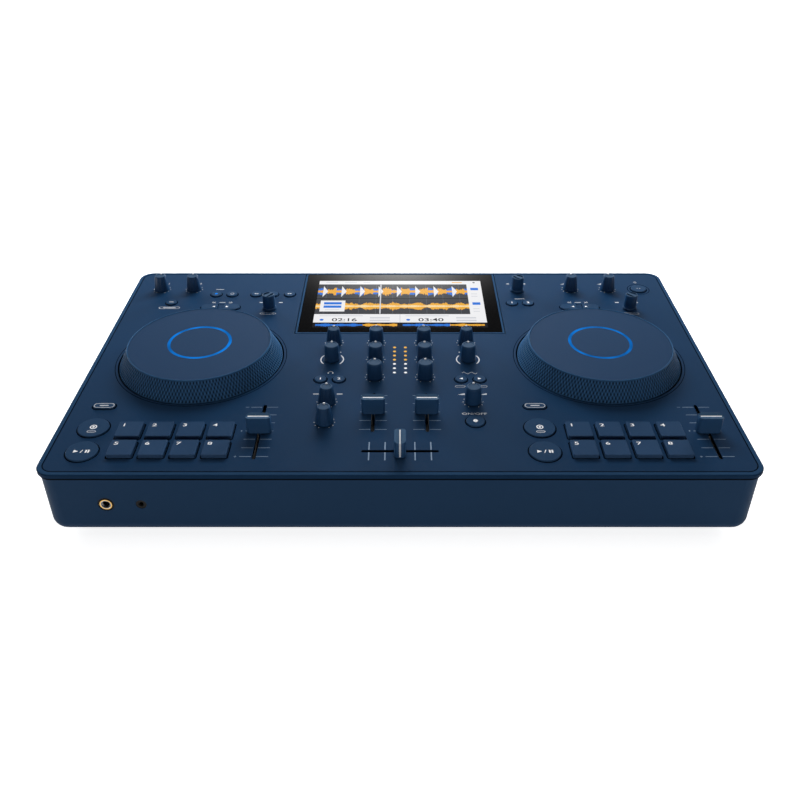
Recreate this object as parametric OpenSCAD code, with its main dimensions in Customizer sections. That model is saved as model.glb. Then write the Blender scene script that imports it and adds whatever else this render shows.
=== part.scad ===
// All-in-one two-deck disc jockey system: a flat case with two jog wheels, a mixer between them,
// a flush display at the back and sockets in the front and rear walls.
// Millimetres. X runs to the right, Y to the back and Z up. The origin lies on the standing
// surface, under the middle of the body. Heights named "drop" count down from the top panel.

/* [Body] */
// Width of the body at its rim
body_w = 622; // [560:1:684]
// Depth of the body at its rim
body_d = 386; // [348:1:424]
// Height of the body above its feet
body_h = 66.6; // [64:0.1:80]
// Plan radius of the rim's corners
rim_r = 15; // [12:0.5:18]
// Height of the rim's outer edge
rim_h = 3.8; // [3.6:0.1:4.6]
// Width of the rim's top face
rim_w = 4.3; // [3.5:0.1:5]
// Rounding along the rim's top edge
rim_edge_r = 1.3; // [0.6:0.1:1.6]
// Height of the shadow gap under the rim
shadow_h = 1.5; // [1:0.1:3]
// Depth of the shadow gap behind the rim's edge
shadow_depth = 3; // [2:0.1:3.4]
// Groove between the rim and the panel
panel_gap = 0.9; // [0.5:0.1:1.4]
// Thickness of the top panel
panel_t = 3; // [2.4:0.1:3.4]
// Distance from the rim's edge to the inner edge of the panel's ledge
ledge_reach = 15; // [14:0.5:16]
// Distance that the lower case stands in from the rim
case_inset = 1.5; // [0.8:0.1:2]
// Thickness of the lower case's walls
case_wall = 3; // [2.2:0.1:3.4]
// Thickness of the lower case's floor
case_floor = 3; // [2.2:0.1:5]
// Plan radius of the lower case's corners
case_r = 15.5; // [13.5:0.5:18]
// Rounding along the lower case's bottom edge
case_edge_r = 11.5; // [8:0.5:12.5]

/* [Feet and screws] */
// Height of the feet
foot_h = 3.5; // [2:0.5:8]
// Diameter of the feet
foot_d = 18; // [12:1:24]
// Distance of the feet's centres from the rim's edge
foot_inset = 36; // [30:1:60]
// Diameter of the frame's screw posts
post_d = 8; // [7:0.5:8.5]
// Distance of the screw posts' axes from the rim's edge
post_inset = 14.1; // [13.6:0.1:14.4]
// Half the distance between the middle screw posts
post_mid_x = 132; // [124:1:150]
// Diameter of the screws
screw_d = 3; // [2.5:0.1:4]
// Length of the screws under their heads
screw_len = 18; // [14:1:24]
// Diameter of the screw heads
screw_head_d = 5.6; // [5:0.1:6.4]
// Height of the screw heads
screw_head_h = 2; // [1.5:0.1:2.5]

/* [Decks] */
// Distance between the two jog wheels' axes
deck_pitch = 404; // [400:1:406]
// Place of the jog axes in depth
jog_y = -5; // [-7:0.5:-3]
// Radius of the jog wheel at the foot of its slope
jog_r = 81.3; // [73:0.1:88]
// Distance that the jog wheel's slope leans in
jog_run = 9.3; // [6:0.1:12]
// Width of the jog wheel's lip round its plate
jog_lip_w = 1.7; // [1.4:0.1:3]
// Height of the jog wheel's lip above the panel
jog_h = 19.6; // [17:0.1:24]
// Gap round the jog wheel
jog_gap = 2; // [1.6:0.1:3]
// Distance of the trim line outside the jog opening
jog_trim = 2.5; // [1.5:0.1:3]
// Thickness of the jog plate
jog_plate_t = 2.3; // [1.8:0.1:3]
// Columns of dimples round the slope
dimple_columns = 90; // [60:2:110]
// Dimples in each even column
dimple_rows = 4; // [2:1:5]
// Radius of the ball that leaves a dimple
dimple_ball_r = 2.2; // [1.6:0.1:2.6]
// Depth of a dimple
dimple_depth = 0.9; // [0.4:0.1:1.2]
// Middle radius of the light ring
light_r = 30.5; // [20:0.5:50]
// Width of the light ring
light_w = 3; // [1.5:0.1:5]
// Depth of the light ring's groove in the plate
light_depth = 1.2; // [0.6:0.1:1.5]
// Diameter of the jog shaft
jog_shaft_d = 12; // [8:0.5:16]

/* [Deck controls] */
// Distance of the transport buttons and of the tempo fader from the jog axis
side_col = 75.4; // [74:0.1:77]
// Place of the shift button in depth
shift_y = -91.4; // [-95:0.1:-88]
// Width of the shift button
shift_w = 21; // [18:0.5:26]
// Depth of the shift button
shift_d = 9; // [7:0.5:11]
// Place of the cue button in depth
cue_y = -126; // [-128:0.1:-124]
// Distance between the cue and play buttons
transport_pitch = 35; // [33:0.1:36]
// Diameter of the cue and play buttons
transport_d = 28; // [22:0.5:29]
// Side length of a pad
pad_size = 22; // [18:0.5:24]
// Distance between pads
pad_pitch = 27.4; // [26.4:0.1:28]
// Place of the back row of pads in depth
pad_y = -131.4; // [-133:0.1:-128]
// Height of the pads above the panel
pad_h = 3.7; // [1.5:0.1:4.2]
// Place of the tempo fader's middle in depth
tempo_y = -130; // [-132:0.1:-128]
// Travel of the tempo fader
tempo_travel = 75; // [60:1:78]
// Place of the jump keys in depth
jump_y = 104.3; // [103:0.1:107]
// Width over both jump keys
jump_w = 43.4; // [38:0.2:46]
// Gap between the two jump keys
jump_split = 7.4; // [5:0.2:9]
// Depth of the jump keys
jump_d = 11.4; // [9:0.2:12]
// Distance of the loop encoder from the jog axis
loop_x = 55.5; // [54:0.1:57]
// Place of the loop encoder in depth
loop_y = 101.6; // [100:0.1:104]

/* [Mixer] */
// Distance of the tone knobs and channel faders from the middle
tone_x = 24.8; // [24:0.1:26]
// Distance of the outer knobs from the middle
outer_x = 69.1; // [66:0.1:71]
// Place of the back row of knobs in depth
tone_y = 26; // [24:0.1:28]
// Distance between the rows of knobs
tone_pitch = 33.25; // [30:0.05:34]
// Place of the upper of the two front knobs in depth
front_knob_y = -83.7; // [-85:0.1:-82]
// Distance between the two front knobs
front_knob_pitch = 32.9; // [30:0.1:34]
// Place of the phones and effect buttons in depth
mixer_button_y = -44.9; // [-47:0.1:-43]
// Distance between the two buttons of a pair
pair_pitch = 18.2; // [16:0.1:20]
// Place of the effect switch in depth
effect_switch_y = -115.8; // [-118:0.1:-112]
// Distance of a meter column from the middle
meter_x = 5.6; // [4:0.1:7]
// Place of the meters' back lights in depth
meter_y = 16.8; // [15:0.1:18]
// Distance between the meter lights
meter_pitch = 8.1; // [6:0.1:8.5]
// Lights in a meter column
meter_count = 7; // [5:1:7]
// Diameter of a meter light
meter_d = 3; // [2:0.1:4]
// Place of the channel faders' middle in depth
channel_y = -100.2; // [-102:0.1:-98]
// Travel of the channel faders
channel_travel = 54.8; // [40:0.2:56]
// Place of the crossfader in depth
cross_y = -159.8; // [-162:0.1:-158]
// Travel of the crossfader
cross_travel = 60.6; // [40:0.2:62]

/* [Rear row] */
// Place of the rear knobs and the power button in depth
rear_knob_y = 148.7; // [147:0.1:152]
// Distance between the microphone knobs
mic_pitch = 37.2; // [34:0.1:40]
// Distance between the output knobs
output_pitch = 43.4; // [38:0.1:46]
// Place of the output knobs' middle from the right jog axis
output_x = 18.1; // [16:0.1:20]
// Distance of the power button from the right jog axis
power_x = 76.2; // [75:0.1:77]
// Place of the small rear buttons in depth
rear_button_y = 135.5; // [133:0.1:138]
// Distance between the three rear buttons
rear_button_pitch = 19.4; // [17:0.1:20]
// Place of the rear button pair's middle from the left jog axis
rear_pair_x = -0.8; // [-2:0.1:1]
// Distance of the microphone button from the left jog axis
mic_button_x = 57.5; // [55:0.1:60]
// Place of the microphone button in depth
mic_button_y = 115.2; // [113:0.1:117]
// Place of the browse encoder across the body
browse_x = 136.1; // [134:0.1:138]
// Place of the browse encoder in depth
browse_y = 145.2; // [143:0.1:148]
// Place of the load buttons in depth
load_y = 113.9; // [112:0.1:116]

/* [Knobs and buttons] */
// Height of the knobs' tops above the panel
knob_h = 17.9; // [14:0.1:22]
// Gap between a knob and the panel
knob_float = 0.8; // [0.5:0.1:1.5]
// Diameter of a tapered knob at its foot
taper_knob_d = 16.6; // [13:0.1:17]
// Diameter of a tapered knob at its top
taper_knob_top_d = 11.9; // [10:0.1:12.6]
// Flutes round a tapered knob
flute_count = 8; // [6:1:12]
// Diameter of a wide knob at its foot
wide_knob_d = 15.6; // [14:0.1:17]
// Diameter of a wide knob at its top
wide_knob_top_d = 13.6; // [12:0.1:14]
// Diameter of an encoder's grip
encoder_d = 13.4; // [11:0.1:14]
// Diameter of an encoder's foot
encoder_foot_d = 15.6; // [14.5:0.1:17]
// Width of the bar across an encoder's top
encoder_bar_w = 3.2; // [2:0.1:5]
// Diameter of the knobs' shafts
shaft_d = 6; // [4:0.1:6.5]
// Diameter of a small button
button_d = 11.8; // [9:0.1:12.4]
// Diameter of the effect switch and of the power button
switch_d = 17.2; // [14:0.1:19]
// Radius of the trim line round the power button
power_trim_r = 12.5; // [11:0.1:13]
// Gap round a button, key or pad
button_gap = 0.8; // [0.5:0.05:0.9]
// Height of the buttons above the panel
button_h = 1.3; // [1:0.1:2.5]
// Travel of the buttons, keys and pads
press_travel = 0.8; // [0.4:0.1:1.2]
// Diameter of the plunger under a button
plunger_d = 4; // [3:0.1:5]
// Radial clearance of shafts and plungers
running_gap = 0.4; // [0.35:0.05:0.6]

/* [Faders] */
// Long side of a fader cap
cap_l = 22; // [18:0.2:24]
// Short side of a fader cap
cap_w = 10.3; // [8:0.1:11]
// Height of a fader cap's top above the panel
cap_h = 17; // [12:0.2:20]
// Gap between a fader cap and the panel
cap_float = 1; // [0.6:0.1:2]
// Width of a fader slot
slot_w = 3.2; // [2.8:0.1:4]
// Width of a fader's stem
stem_w = 2.2; // [1.6:0.1:2.4]
// Length of a fader's stem along its slot
stem_l = 5; // [4:0.1:8]
// Room between the stem and the ends of its slot
slot_end_gap = 1.2; // [0.6:0.1:3]

/* [Display] */
// Width of the display glass
glass_w = 220; // [212:0.5:222]
// Depth of the display glass
glass_d = 139; // [134:0.5:141]
// Thickness of the display glass
glass_t = 1.5; // [1:0.1:2]
// Distance from the rim's edge to the glass
glass_inset = 5.6; // [5:0.1:7]
// Gap round the glass
glass_gap = 0.2; // [0.1:0.05:0.4]
// Width of the bay's edge round the glass
bay_edge = 2.2; // [1.5:0.1:3]
// Width of the panel's ledge round the bay
bay_ledge = 6; // [4:0.5:6.5]
// Width of the display panel
lcd_w = 196; // [180:1:200]
// Depth of the display panel
lcd_d = 119; // [110:1:122]
// Thickness of the display panel
lcd_t = 4; // [3:0.1:5]

/* [Inside] */
// Drop of the main board's top under the panel's top
board_drop = 16; // [15:0.1:18]
// Thickness of the main board
board_t = 1.6; // [1.2:0.1:2]
// Distance of the main board's edge from the rim's edge
board_inset = 20; // [19:0.5:24]
// Side length of a potentiometer
pot_size = 12; // [10:0.5:13]
// Height of a potentiometer's body
pot_h = 6.5; // [5:0.1:7]
// Width of a fader's track
track_w = 14; // [11:0.5:16]
// Height of a fader's track
track_h = 9; // [7:0.1:9.5]
// Side length of a key switch
key_size = 8; // [6.5:0.1:9]
// Height of a key switch
key_h = 4; // [3.6:0.1:5]
// Diameter of the board's standoffs
standoff_d = 8; // [6:0.5:10]
// Width of the battery pack
battery_w = 160; // [120:1:180]
// Depth of the battery pack
battery_d = 80; // [60:1:100]
// Height of the battery pack
battery_h = 24; // [18:1:26]

/* [Sockets] */
// Place of the large headphone socket across the body
phones_x = -254.4; // [-260:0.1:-250]
// Place of the small headphone socket across the body
mini_x = -223.9; // [-230:0.1:-220]
// Drop of the sockets' axes under the panel's top
socket_drop = 33.6; // [30:0.1:36]
// Bore of the large sockets
jack_bore_d = 6.5; // [6.4:0.05:6.6]
// Outside diameter of the large sockets
jack_d = 14; // [12:0.1:15]
// Length of the large sockets
jack_len = 32; // [26:1:36]
// Outside diameter of the brass ring
ring_d = 11.7; // [10:0.1:11.8]
// Inside diameter of the brass ring
ring_bore_d = 8; // [7:0.1:9]
// Bore of the small socket
mini_bore_d = 3.6; // [3.55:0.05:3.7]
// Outside diameter of the small socket
mini_d = 9; // [7:0.1:10]
// Length of the small socket
mini_len = 18; // [15:1:24]
// Gap between a socket and its hole
socket_gap = 0.2; // [0.1:0.05:0.4]
// Place of the microphone socket across the body
mic_socket_x = -240; // [-250:1:-200]
// Place of the first output socket across the body
output_socket_x = 170; // [150:1:200]
// Distance between the output sockets
output_socket_pitch = 30; // [24:1:40]
// Place of the flat data port across the body
data_port_x = 60; // [40:1:90]
// Width of the flat data port
data_port_w = 12.6; // [12.4:0.1:13]
// Height of the flat data port
data_port_h = 5.2; // [5:0.1:5.4]
// Place of the oval power port across the body
power_port_x = 250; // [235:1:270]
// Width of the oval power port
power_port_w = 8.6; // [8.4:0.1:9]
// Height of the oval power port
power_port_h = 2.8; // [2.6:0.1:3]
// Length of the ports
port_len = 14; // [10:1:20]
// Wall of the ports' shells
port_wall = 1; // [0.8:0.1:1.5]

/* [Hidden] */
$fn = 96;
// Overshoot of a cut past the face it opens
cut = 1;
// Lift of the upper end of a piece that is joined to the one above it
overlap = 0.5;

case_blue = [0.13, 0.20, 0.30];
panel_blue = [0.14, 0.22, 0.33];
control_blue = [0.12, 0.19, 0.29];
black = [0.05, 0.05, 0.06];

// Heights
top_z = foot_h + body_h;
case_top_drop = rim_h + shadow_h;
floor_drop = body_h - case_floor;
board_bottom_drop = board_drop + board_t;
boss_h = 6;
head_depth = screw_head_h + 0.6;

// Places on the top are given for a body of these sizes, and stretch with the body
layout_w = 622;
layout_d = 386;
stretch_x = body_w / layout_w;
stretch_y = body_d / layout_d;
function spot_at(x, y) = [x * stretch_x, y * stretch_y];

// Plan sizes
case_w = body_w - 2 * case_inset;
case_d = body_d - 2 * case_inset;
panel_inset = rim_w + panel_gap;
glass_size = [glass_w * stretch_x, glass_d * stretch_y];
glass_y = body_d / 2 - glass_inset - glass_size[1] / 2;
bay_w = glass_size[0] + 2 * bay_edge;
bay_front = glass_y - glass_size[1] / 2 - bay_edge;
lcd_size = [lcd_w * stretch_x, lcd_d * stretch_y];
lcd_y = glass_y - 2.6;
post_x = body_w / 2 - post_inset;
post_y = body_d / 2 - post_inset;
wall_front = -case_d / 2;
wall_back = case_d / 2;

// Places of the controls
deck_x = deck_pitch / 2;
decks = [-deck_x, deck_x];
function jog_at(x) = spot_at(x, jog_y);
mic_level_at = spot_at(-deck_x - side_col, rear_knob_y);
mic_tone_at = spot_at(-deck_x - side_col + mic_pitch, rear_knob_y);
phones_level_at = spot_at(deck_x + output_x - output_pitch / 2, rear_knob_y);
output_level_at = spot_at(deck_x + output_x + output_pitch / 2, rear_knob_y);
left_gain_at = spot_at(-outer_x, tone_y);
right_gain_at = spot_at(outer_x, tone_y);
left_filter_at = spot_at(-outer_x, tone_y - tone_pitch);
right_filter_at = spot_at(outer_x, tone_y - tone_pitch);
cue_mix_at = spot_at(-outer_x, front_knob_y);
cue_level_at = spot_at(-outer_x, front_knob_y - front_knob_pitch);
effect_level_at = spot_at(outer_x, front_knob_y);
browse_at = spot_at(browse_x, browse_y);
left_loop_at = spot_at(-deck_x + loop_x, loop_y);
right_loop_at = spot_at(deck_x + loop_x, loop_y);
function tone_at(side, row) = spot_at(side * tone_x, tone_y - row * tone_pitch);
tone_spots = [for (side = [-1, 1], row = [0:2]) tone_at(side, row)];
knob_spots = concat(tone_spots, [
  mic_level_at, mic_tone_at, phones_level_at, output_level_at, left_gain_at, right_gain_at,
  left_filter_at, right_filter_at, cue_mix_at, cue_level_at, effect_level_at,
  browse_at, left_loop_at, right_loop_at
]);

function pair_at(x, y) = [for (s = [-1, 1]) spot_at(x + s * pair_pitch / 2, y)];
phones_spots = pair_at(-outer_x, mixer_button_y);
effect_spots = pair_at(outer_x, mixer_button_y);
load_spots = pair_at(browse_x, load_y);
rear_spots = concat(
  pair_at(-deck_x + rear_pair_x, rear_button_y),
  [for (k = [-1:1]) spot_at(-deck_x + loop_x + k * rear_button_pitch, rear_button_y)],
  [spot_at(-deck_x - mic_button_x, mic_button_y)]
);
small_spots = concat(phones_spots, effect_spots, load_spots, rear_spots);
effect_switch_at = spot_at(outer_x, effect_switch_y);
power_at = spot_at(deck_x + power_x, rear_knob_y);
switch_spots = [effect_switch_at, power_at];
function shift_at(x) = spot_at(x - side_col, shift_y);
function transport_at(x, k) = spot_at(x - side_col, cue_y - k * transport_pitch);
function pad_at(x, col, row) = spot_at(x + (col - 1.5) * pad_pitch, pad_y - row * pad_pitch);
function jump_at(x) = spot_at(x, jump_y);
function tempo_at(x) = spot_at(x + side_col, tempo_y);
function channel_at(side) = spot_at(side * tone_x, channel_y);
cross_at = spot_at(0, cross_y);
pad_cells = [for (row = [0:1], col = [0:3]) [col, row]];
jump_key_w = (jump_w - jump_split) / 2;
jump_x = (jump_split + jump_key_w) / 2;
key_spots = concat(
  small_spots, switch_spots,
  [for (x = decks) shift_at(x)],
  [for (x = decks, k = [0:1]) transport_at(x, k)],
  [for (x = decks, c = pad_cells) pad_at(x, c[0], c[1])],
  [for (x = decks, s = [-1, 1]) jump_at(x) + [s * jump_x, 0]]
);
meter_spots = [for (s = [-1, 1], k = [0:meter_count - 1]) spot_at(s * meter_x, meter_y - k * meter_pitch)];

// Faders: place, travel and turn of the slot from the Y direction
fader_rows = concat(
  [for (x = decks) [tempo_at(x), tempo_travel * stretch_y, 0]],
  [for (side = [-1, 1]) [channel_at(side), channel_travel * stretch_y, 0]],
  [[cross_at, cross_travel * stretch_x, 90]]
);
function slot_len(travel) = travel + stem_l + 2 * slot_end_gap;

// Heights below the panel that the controls reach
cap_skirt = panel_t - 0.6;
plunger_drop = board_drop - key_h + 0.6;
key_bore_drop = plunger_drop + press_travel + running_gap;
shaft_drop = board_drop - pot_h + 2.4;
bushing_top_drop = panel_t + 2.4;
stem_drop = board_drop - track_h + 5;
wheel_hub_drop = 4;
jog_shaft_drop = board_drop - 0.6;

// Jog slope, from its foot to its lip
jog_foot_z = 0.5;
jog_base_z = -1;
jog_slope_top_z = jog_h - 1;
jog_lip_r = jog_r - jog_run;
jog_plate_r = jog_lip_r - jog_lip_w;
jog_rise = jog_slope_top_z - jog_foot_z;
jog_lean = atan2(jog_rise, jog_run);
jog_side = norm([jog_run, jog_rise]);
jog_deck_z = jog_h - jog_plate_t - 0.3;
jog_deck_t = 2.5;
jog_wall = 4.5;
jog_hub_r = jog_shaft_d / 2 + 6;

// Shared shapes

// Moves its children to a spot on the top panel
module on_panel(spot) translate([spot[0], spot[1], top_z]) children();

// Rectangle with round corners, centred
module round_rect(w, d, r) {
  square([w - 2 * r, d], center = true);
  square([w, d - 2 * r], center = true);
  for (sx = [-1, 1], sy = [-1, 1]) translate([sx * (w / 2 - r), sy * (d / 2 - r)]) circle(r);
}

// Slot outline with round ends, its length along Y
module slot_outline(w, l) {
  square([w, l - w], center = true);
  for (s = [-1, 1]) translate([0, s * (l - w) / 2]) circle(w / 2);
}

// Half of a section whose outer lower edge is rounded by e
module half_section(r, h, e) {
  square([r - e, h]);
  translate([0, e]) square([r, h - e]);
  intersection() {
    translate([r - e, e]) circle(e);
    square([r, h]);
  }
}

// Whole section whose two lower edges are rounded by e
module full_section(w, h, e) {
  half_section(w / 2, h, e);
  mirror([1, 0]) half_section(w / 2, h, e);
}

// Block with round plan corners and a rounded lower edge
module soft_block(w, d, h, r, e) {
  translate([0, d / 2 - r, 0]) rotate([90, 0, 0]) linear_extrude(d - 2 * r) full_section(w, h, e);
  rotate([90, 0, 90]) translate([0, 0, r - w / 2]) linear_extrude(w - 2 * r) full_section(d, h, e);
  for (k = [0:3]) {
    sx = (k == 0 || k == 3) ? 1 : -1;
    sy = k < 2 ? 1 : -1;
    translate([sx * (w / 2 - r), sy * (d / 2 - r), 0])
      rotate(90 * k) rotate_extrude(angle = 90) half_section(r, h, e);
  }
}

// Bar along X with one round end towards +X and a rounded lower edge
module soft_half_pill(w, d, h, e) {
  translate([-w / 2, 0, 0]) rotate([90, 0, 90]) linear_extrude(w - d / 2) full_section(d, h, e);
  translate([(w - d) / 2, 0, 0]) rotate(-90) rotate_extrude(angle = 180) half_section(d / 2, h, e);
}

// Turns a shape with a rounded lower edge over, so that its rounded edge is on top at height z
module rounded_up(z) translate([0, 0, z]) mirror([0, 0, 1]) children();

// Plunger under a button, from its cap down into its key switch
module plunger() translate([0, 0, -plunger_drop])
  cylinder(d = plunger_d, h = plunger_drop - cap_skirt + overlap);

// Case

module lower_case() color(case_blue) difference() {
  union() {
    difference() {
      translate([0, 0, foot_h])
        soft_block(case_w, case_d, body_h - case_top_drop, case_r, case_edge_r);
      translate([0, 0, foot_h + case_floor]) soft_block(
        case_w - 2 * case_wall, case_d - 2 * case_wall, body_h, case_r - case_wall, case_edge_r - case_wall
      );
    }
    for (spot = standoff_spots) translate([spot[0], spot[1], foot_h + case_floor - overlap])
      cylinder(d = standoff_d, h = floor_drop - board_bottom_drop + overlap);
    for (spot = post_spots) translate([spot[0], spot[1], foot_h + case_floor - overlap])
      cylinder(d = post_d, h = boss_h + overlap);
  }
  for (spot = post_spots) translate([spot[0], spot[1], foot_h]) {
    translate([0, 0, -cut]) cylinder(d = screw_head_d + 1, h = head_depth + cut);
    cylinder(d = screw_d + 0.6, h = case_floor + boss_h + cut);
  }
  translate([phones_at_x, wall_front, top_z - socket_drop]) wall_hole(jack_d);
  translate([mini_at_x, wall_front, top_z - socket_drop]) wall_hole(mini_d);
  for (x = rear_jack_xs) translate([x, wall_back, top_z - socket_drop]) wall_hole(jack_d);
  translate([data_port_at_x, wall_back, top_z - socket_drop]) rotate([90, 0, 0])
    linear_extrude(2 * case_wall + 2 * cut, center = true)
      square([data_port_w, data_port_h] + [1, 1] * 2 * (port_wall + socket_gap), center = true);
  translate([power_port_at_x, wall_back, top_z - socket_drop]) rotate([90, 0, 0])
    linear_extrude(2 * case_wall + 2 * cut, center = true) rotate(90)
      slot_outline(power_port_h + 2 * (port_wall + socket_gap), power_port_w + 2 * (port_wall + socket_gap));
}

// Screw posts stand in the corners and beside the middle, standoffs carry the board
post_spots = [for (sx = [-1, 1], sy = [-1, 1], x = [post_x, post_mid_x * stretch_x]) [sx * x, sy * post_y]];
standoff_x = body_w / 2 - board_inset - 8;
standoff_mid_x = 100 * stretch_x;
standoff_y = body_d / 2 - board_inset - 22;
standoff_spots =
  [for (sx = [-1, 1], sy = [-1, 1], x = [standoff_x, standoff_mid_x]) [sx * x, sy * standoff_y]];
rear_jack_xs =
  [for (x = [mic_socket_x, output_socket_x, output_socket_x + output_socket_pitch]) x * stretch_x];
phones_at_x = phones_x * stretch_x;
mini_at_x = mini_x * stretch_x;
data_port_at_x = data_port_x * stretch_x;
power_port_at_x = power_port_x * stretch_x;

// Round hole through a wall along Y
module wall_hole(d) rotate([90, 0, 0])
  cylinder(d = d + 2 * socket_gap, h = 2 * case_wall + 2 * cut, center = true);

module top_frame() color(case_blue) translate([0, 0, top_z]) difference() {
  union() {
    difference() {
      rounded_up(0) soft_block(body_w, body_d, rim_h, rim_r, rim_edge_r);
      translate([0, 0, -rim_h - cut]) linear_extrude(rim_h + 2 * cut) difference() {
        round_rect(body_w - 2 * rim_w, body_d - 2 * rim_w, rim_r - rim_w + 1);
        bay_outline(0);
      }
    }
    translate([0, 0, -case_top_drop]) linear_extrude(case_top_drop - panel_t) difference() {
      round_rect(body_w - 2 * shadow_depth, body_d - 2 * shadow_depth, rim_r - shadow_depth);
      difference() {
        round_rect(body_w - 2 * ledge_reach, body_d - 2 * ledge_reach, rim_r);
        bay_outline(bay_ledge);
      }
    }
    for (spot = post_spots) translate([spot[0], spot[1], boss_h - floor_drop])
      cylinder(d = post_d, h = floor_drop - boss_h - case_top_drop + overlap);
  }
  translate([0, glass_y, -glass_t - 0.1]) linear_extrude(glass_t + cut)
    square(glass_size + [1, 1] * 2 * glass_gap, center = true);
  translate([0, lcd_y, -case_top_drop - cut]) linear_extrude(case_top_drop + cut)
    square(lcd_size + [2, 2], center = true);
  for (spot = post_spots) translate([spot[0], spot[1], boss_h - floor_drop - cut])
    cylinder(d = screw_d + 0.4, h = screw_len + cut);
}

// Outline of the display bay, grown by g to the sides and the front
module bay_outline(g) translate([-bay_w / 2 - g, bay_front - g])
  square([bay_w + 2 * g, body_d / 2 - rim_w + overlap - bay_front + g]);

module top_panel() color(panel_blue) translate([0, 0, top_z]) difference() {
  translate([0, 0, -panel_t]) linear_extrude(panel_t) difference() {
    round_rect(body_w - 2 * panel_inset, body_d - 2 * panel_inset, rim_r - rim_w + 0.2);
    bay_outline(panel_gap);
    for (x = decks) translate(jog_at(x)) circle(jog_r + jog_gap);
    for (spot = knob_spots) translate(spot) circle(d = shaft_d + 2 * running_gap + 0.4);
    for (spot = small_spots) translate(spot) circle(d = button_d + 2 * button_gap);
    for (spot = switch_spots) translate(spot) circle(d = switch_d + 2 * button_gap);
    for (x = decks) {
      translate(shift_at(x)) rotate(90) slot_outline(shift_d + 2 * button_gap, shift_w + 2 * button_gap);
      for (k = [0:1]) translate(transport_at(x, k)) circle(d = transport_d + 2 * button_gap);
      for (c = pad_cells) translate(pad_at(x, c[0], c[1]))
        round_rect(pad_size + 2 * button_gap, pad_size + 2 * button_gap, pad_corner_r + button_gap);
      for (s = [0, 1]) translate(jump_at(x)) mirror([s, 0]) jump_hole();
    }
    for (f = fader_rows) translate(f[0]) rotate(f[2]) slot_outline(slot_w, slot_len(f[1]));
    for (spot = meter_spots) translate(spot) circle(d = meter_d + 0.2);
  }
  for (x = decks) on_face(jog_at(x)) trim_line(jog_r + jog_gap + jog_trim);
  on_face(power_at) trim_line(power_trim_r);
}

pad_corner_r = 1.2;
trim_line_w = 0.5;
trim_line_depth = 0.5;

module on_face(spot) translate([spot[0], spot[1], 0]) children();

// Fine ring line cut into the panel's top
module trim_line(r) translate([0, 0, -trim_line_depth]) linear_extrude(trim_line_depth + cut) difference() {
  circle(r + trim_line_w / 2);
  circle(r - trim_line_w / 2);
}

// Opening of the right-hand jump key
module jump_hole() {
  key_in = jump_split / 2 - button_gap;
  key_end = jump_w / 2 - jump_d / 2;
  hole_d = jump_d + 2 * button_gap;
  translate([key_in, -hole_d / 2]) square([key_end - key_in, hole_d]);
  translate([key_end, 0]) intersection() {
    circle(d = hole_d);
    translate([-cut, -hole_d]) square([hole_d, 2 * hole_d]);
  }
}

module rubber_feet() color(black) for (sx = [-1, 1], sy = [-1, 1])
  translate([sx * (body_w / 2 - foot_inset), sy * (body_d / 2 - foot_inset), 0])
    rotate_extrude() half_section(foot_d / 2, foot_h, 0.8);

module case_screws() color("dimgray") for (spot = post_spots)
  translate([spot[0], spot[1], foot_h + head_depth - screw_head_h]) {
    difference() {
      cylinder(d = screw_head_d, h = screw_head_h);
      translate([0, 0, -cut]) for (a = [0, 90]) rotate(a)
        translate([-screw_head_d / 3, -0.4, 0]) cube([screw_head_d / 1.5, 0.8, cut + screw_head_h / 2]);
    }
    translate([0, 0, screw_head_h - overlap]) cylinder(d = screw_d, h = screw_len + overlap);
  }

// Display and lights

module display_glass() color(black) translate([0, glass_y, top_z - glass_t - 0.1])
  linear_extrude(glass_t) square(glass_size, center = true);

module display_panel() color("slategray") translate([0, lcd_y, top_z - glass_t - 0.1 - lcd_t])
  linear_extrude(lcd_t) square(lcd_size, center = true);

module meter_leds() color("orange") for (spot = meter_spots)
  on_panel(spot) translate([0, 0, -board_drop]) cylinder(d = meter_d, h = board_drop);

// Inside

module main_board() color("darkgreen") translate([0, 0, top_z - board_bottom_drop]) linear_extrude(board_t)
  round_rect(body_w - 2 * board_inset, body_d - 2 * board_inset, 4);

module battery_pack() color("gray") translate([0, -20, foot_h + case_floor])
  rounded_up(battery_h) soft_block(battery_w, battery_d, battery_h, 6, 3);

module control_bodies() color("dimgray") {
  for (spot = knob_spots) on_panel(spot) potentiometer();
  for (spot = key_spots) on_panel(spot) key_switch();
  for (f = fader_rows) on_panel(f[0]) rotate(f[2]) fader_track(f[1]);
  for (x = decks) on_panel(jog_at(x)) jog_bearing();
}

// Square body with a bush round the knob's shaft
module potentiometer() difference() {
  union() {
    translate([-pot_size / 2, -pot_size / 2, -board_drop]) cube([pot_size, pot_size, pot_h]);
    translate([0, 0, -board_drop + pot_h - overlap])
      cylinder(d = shaft_d + 2 * running_gap + 3, h = board_drop - pot_h - bushing_top_drop + overlap);
  }
  translate([0, 0, -shaft_drop - 0.6]) cylinder(d = shaft_d + 2 * running_gap, h = shaft_drop);
}

module key_switch() difference() {
  translate([-key_size / 2, -key_size / 2, -board_drop]) cube([key_size, key_size, key_h]);
  translate([0, 0, -key_bore_drop]) cylinder(d = plunger_d + 2 * running_gap, h = key_h + cut);
}

// Track with a channel for the fader's stem
module fader_track(travel) translate([0, 0, -board_drop]) difference() {
  translate([-track_w / 2, -slot_len(travel) / 2 - 4, 0]) cube([track_w, slot_len(travel) + 8, track_h]);
  translate([-slot_w / 2, -slot_len(travel) / 2, track_h - 6]) cube([slot_w, slot_len(travel), 6 + cut]);
}

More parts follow.
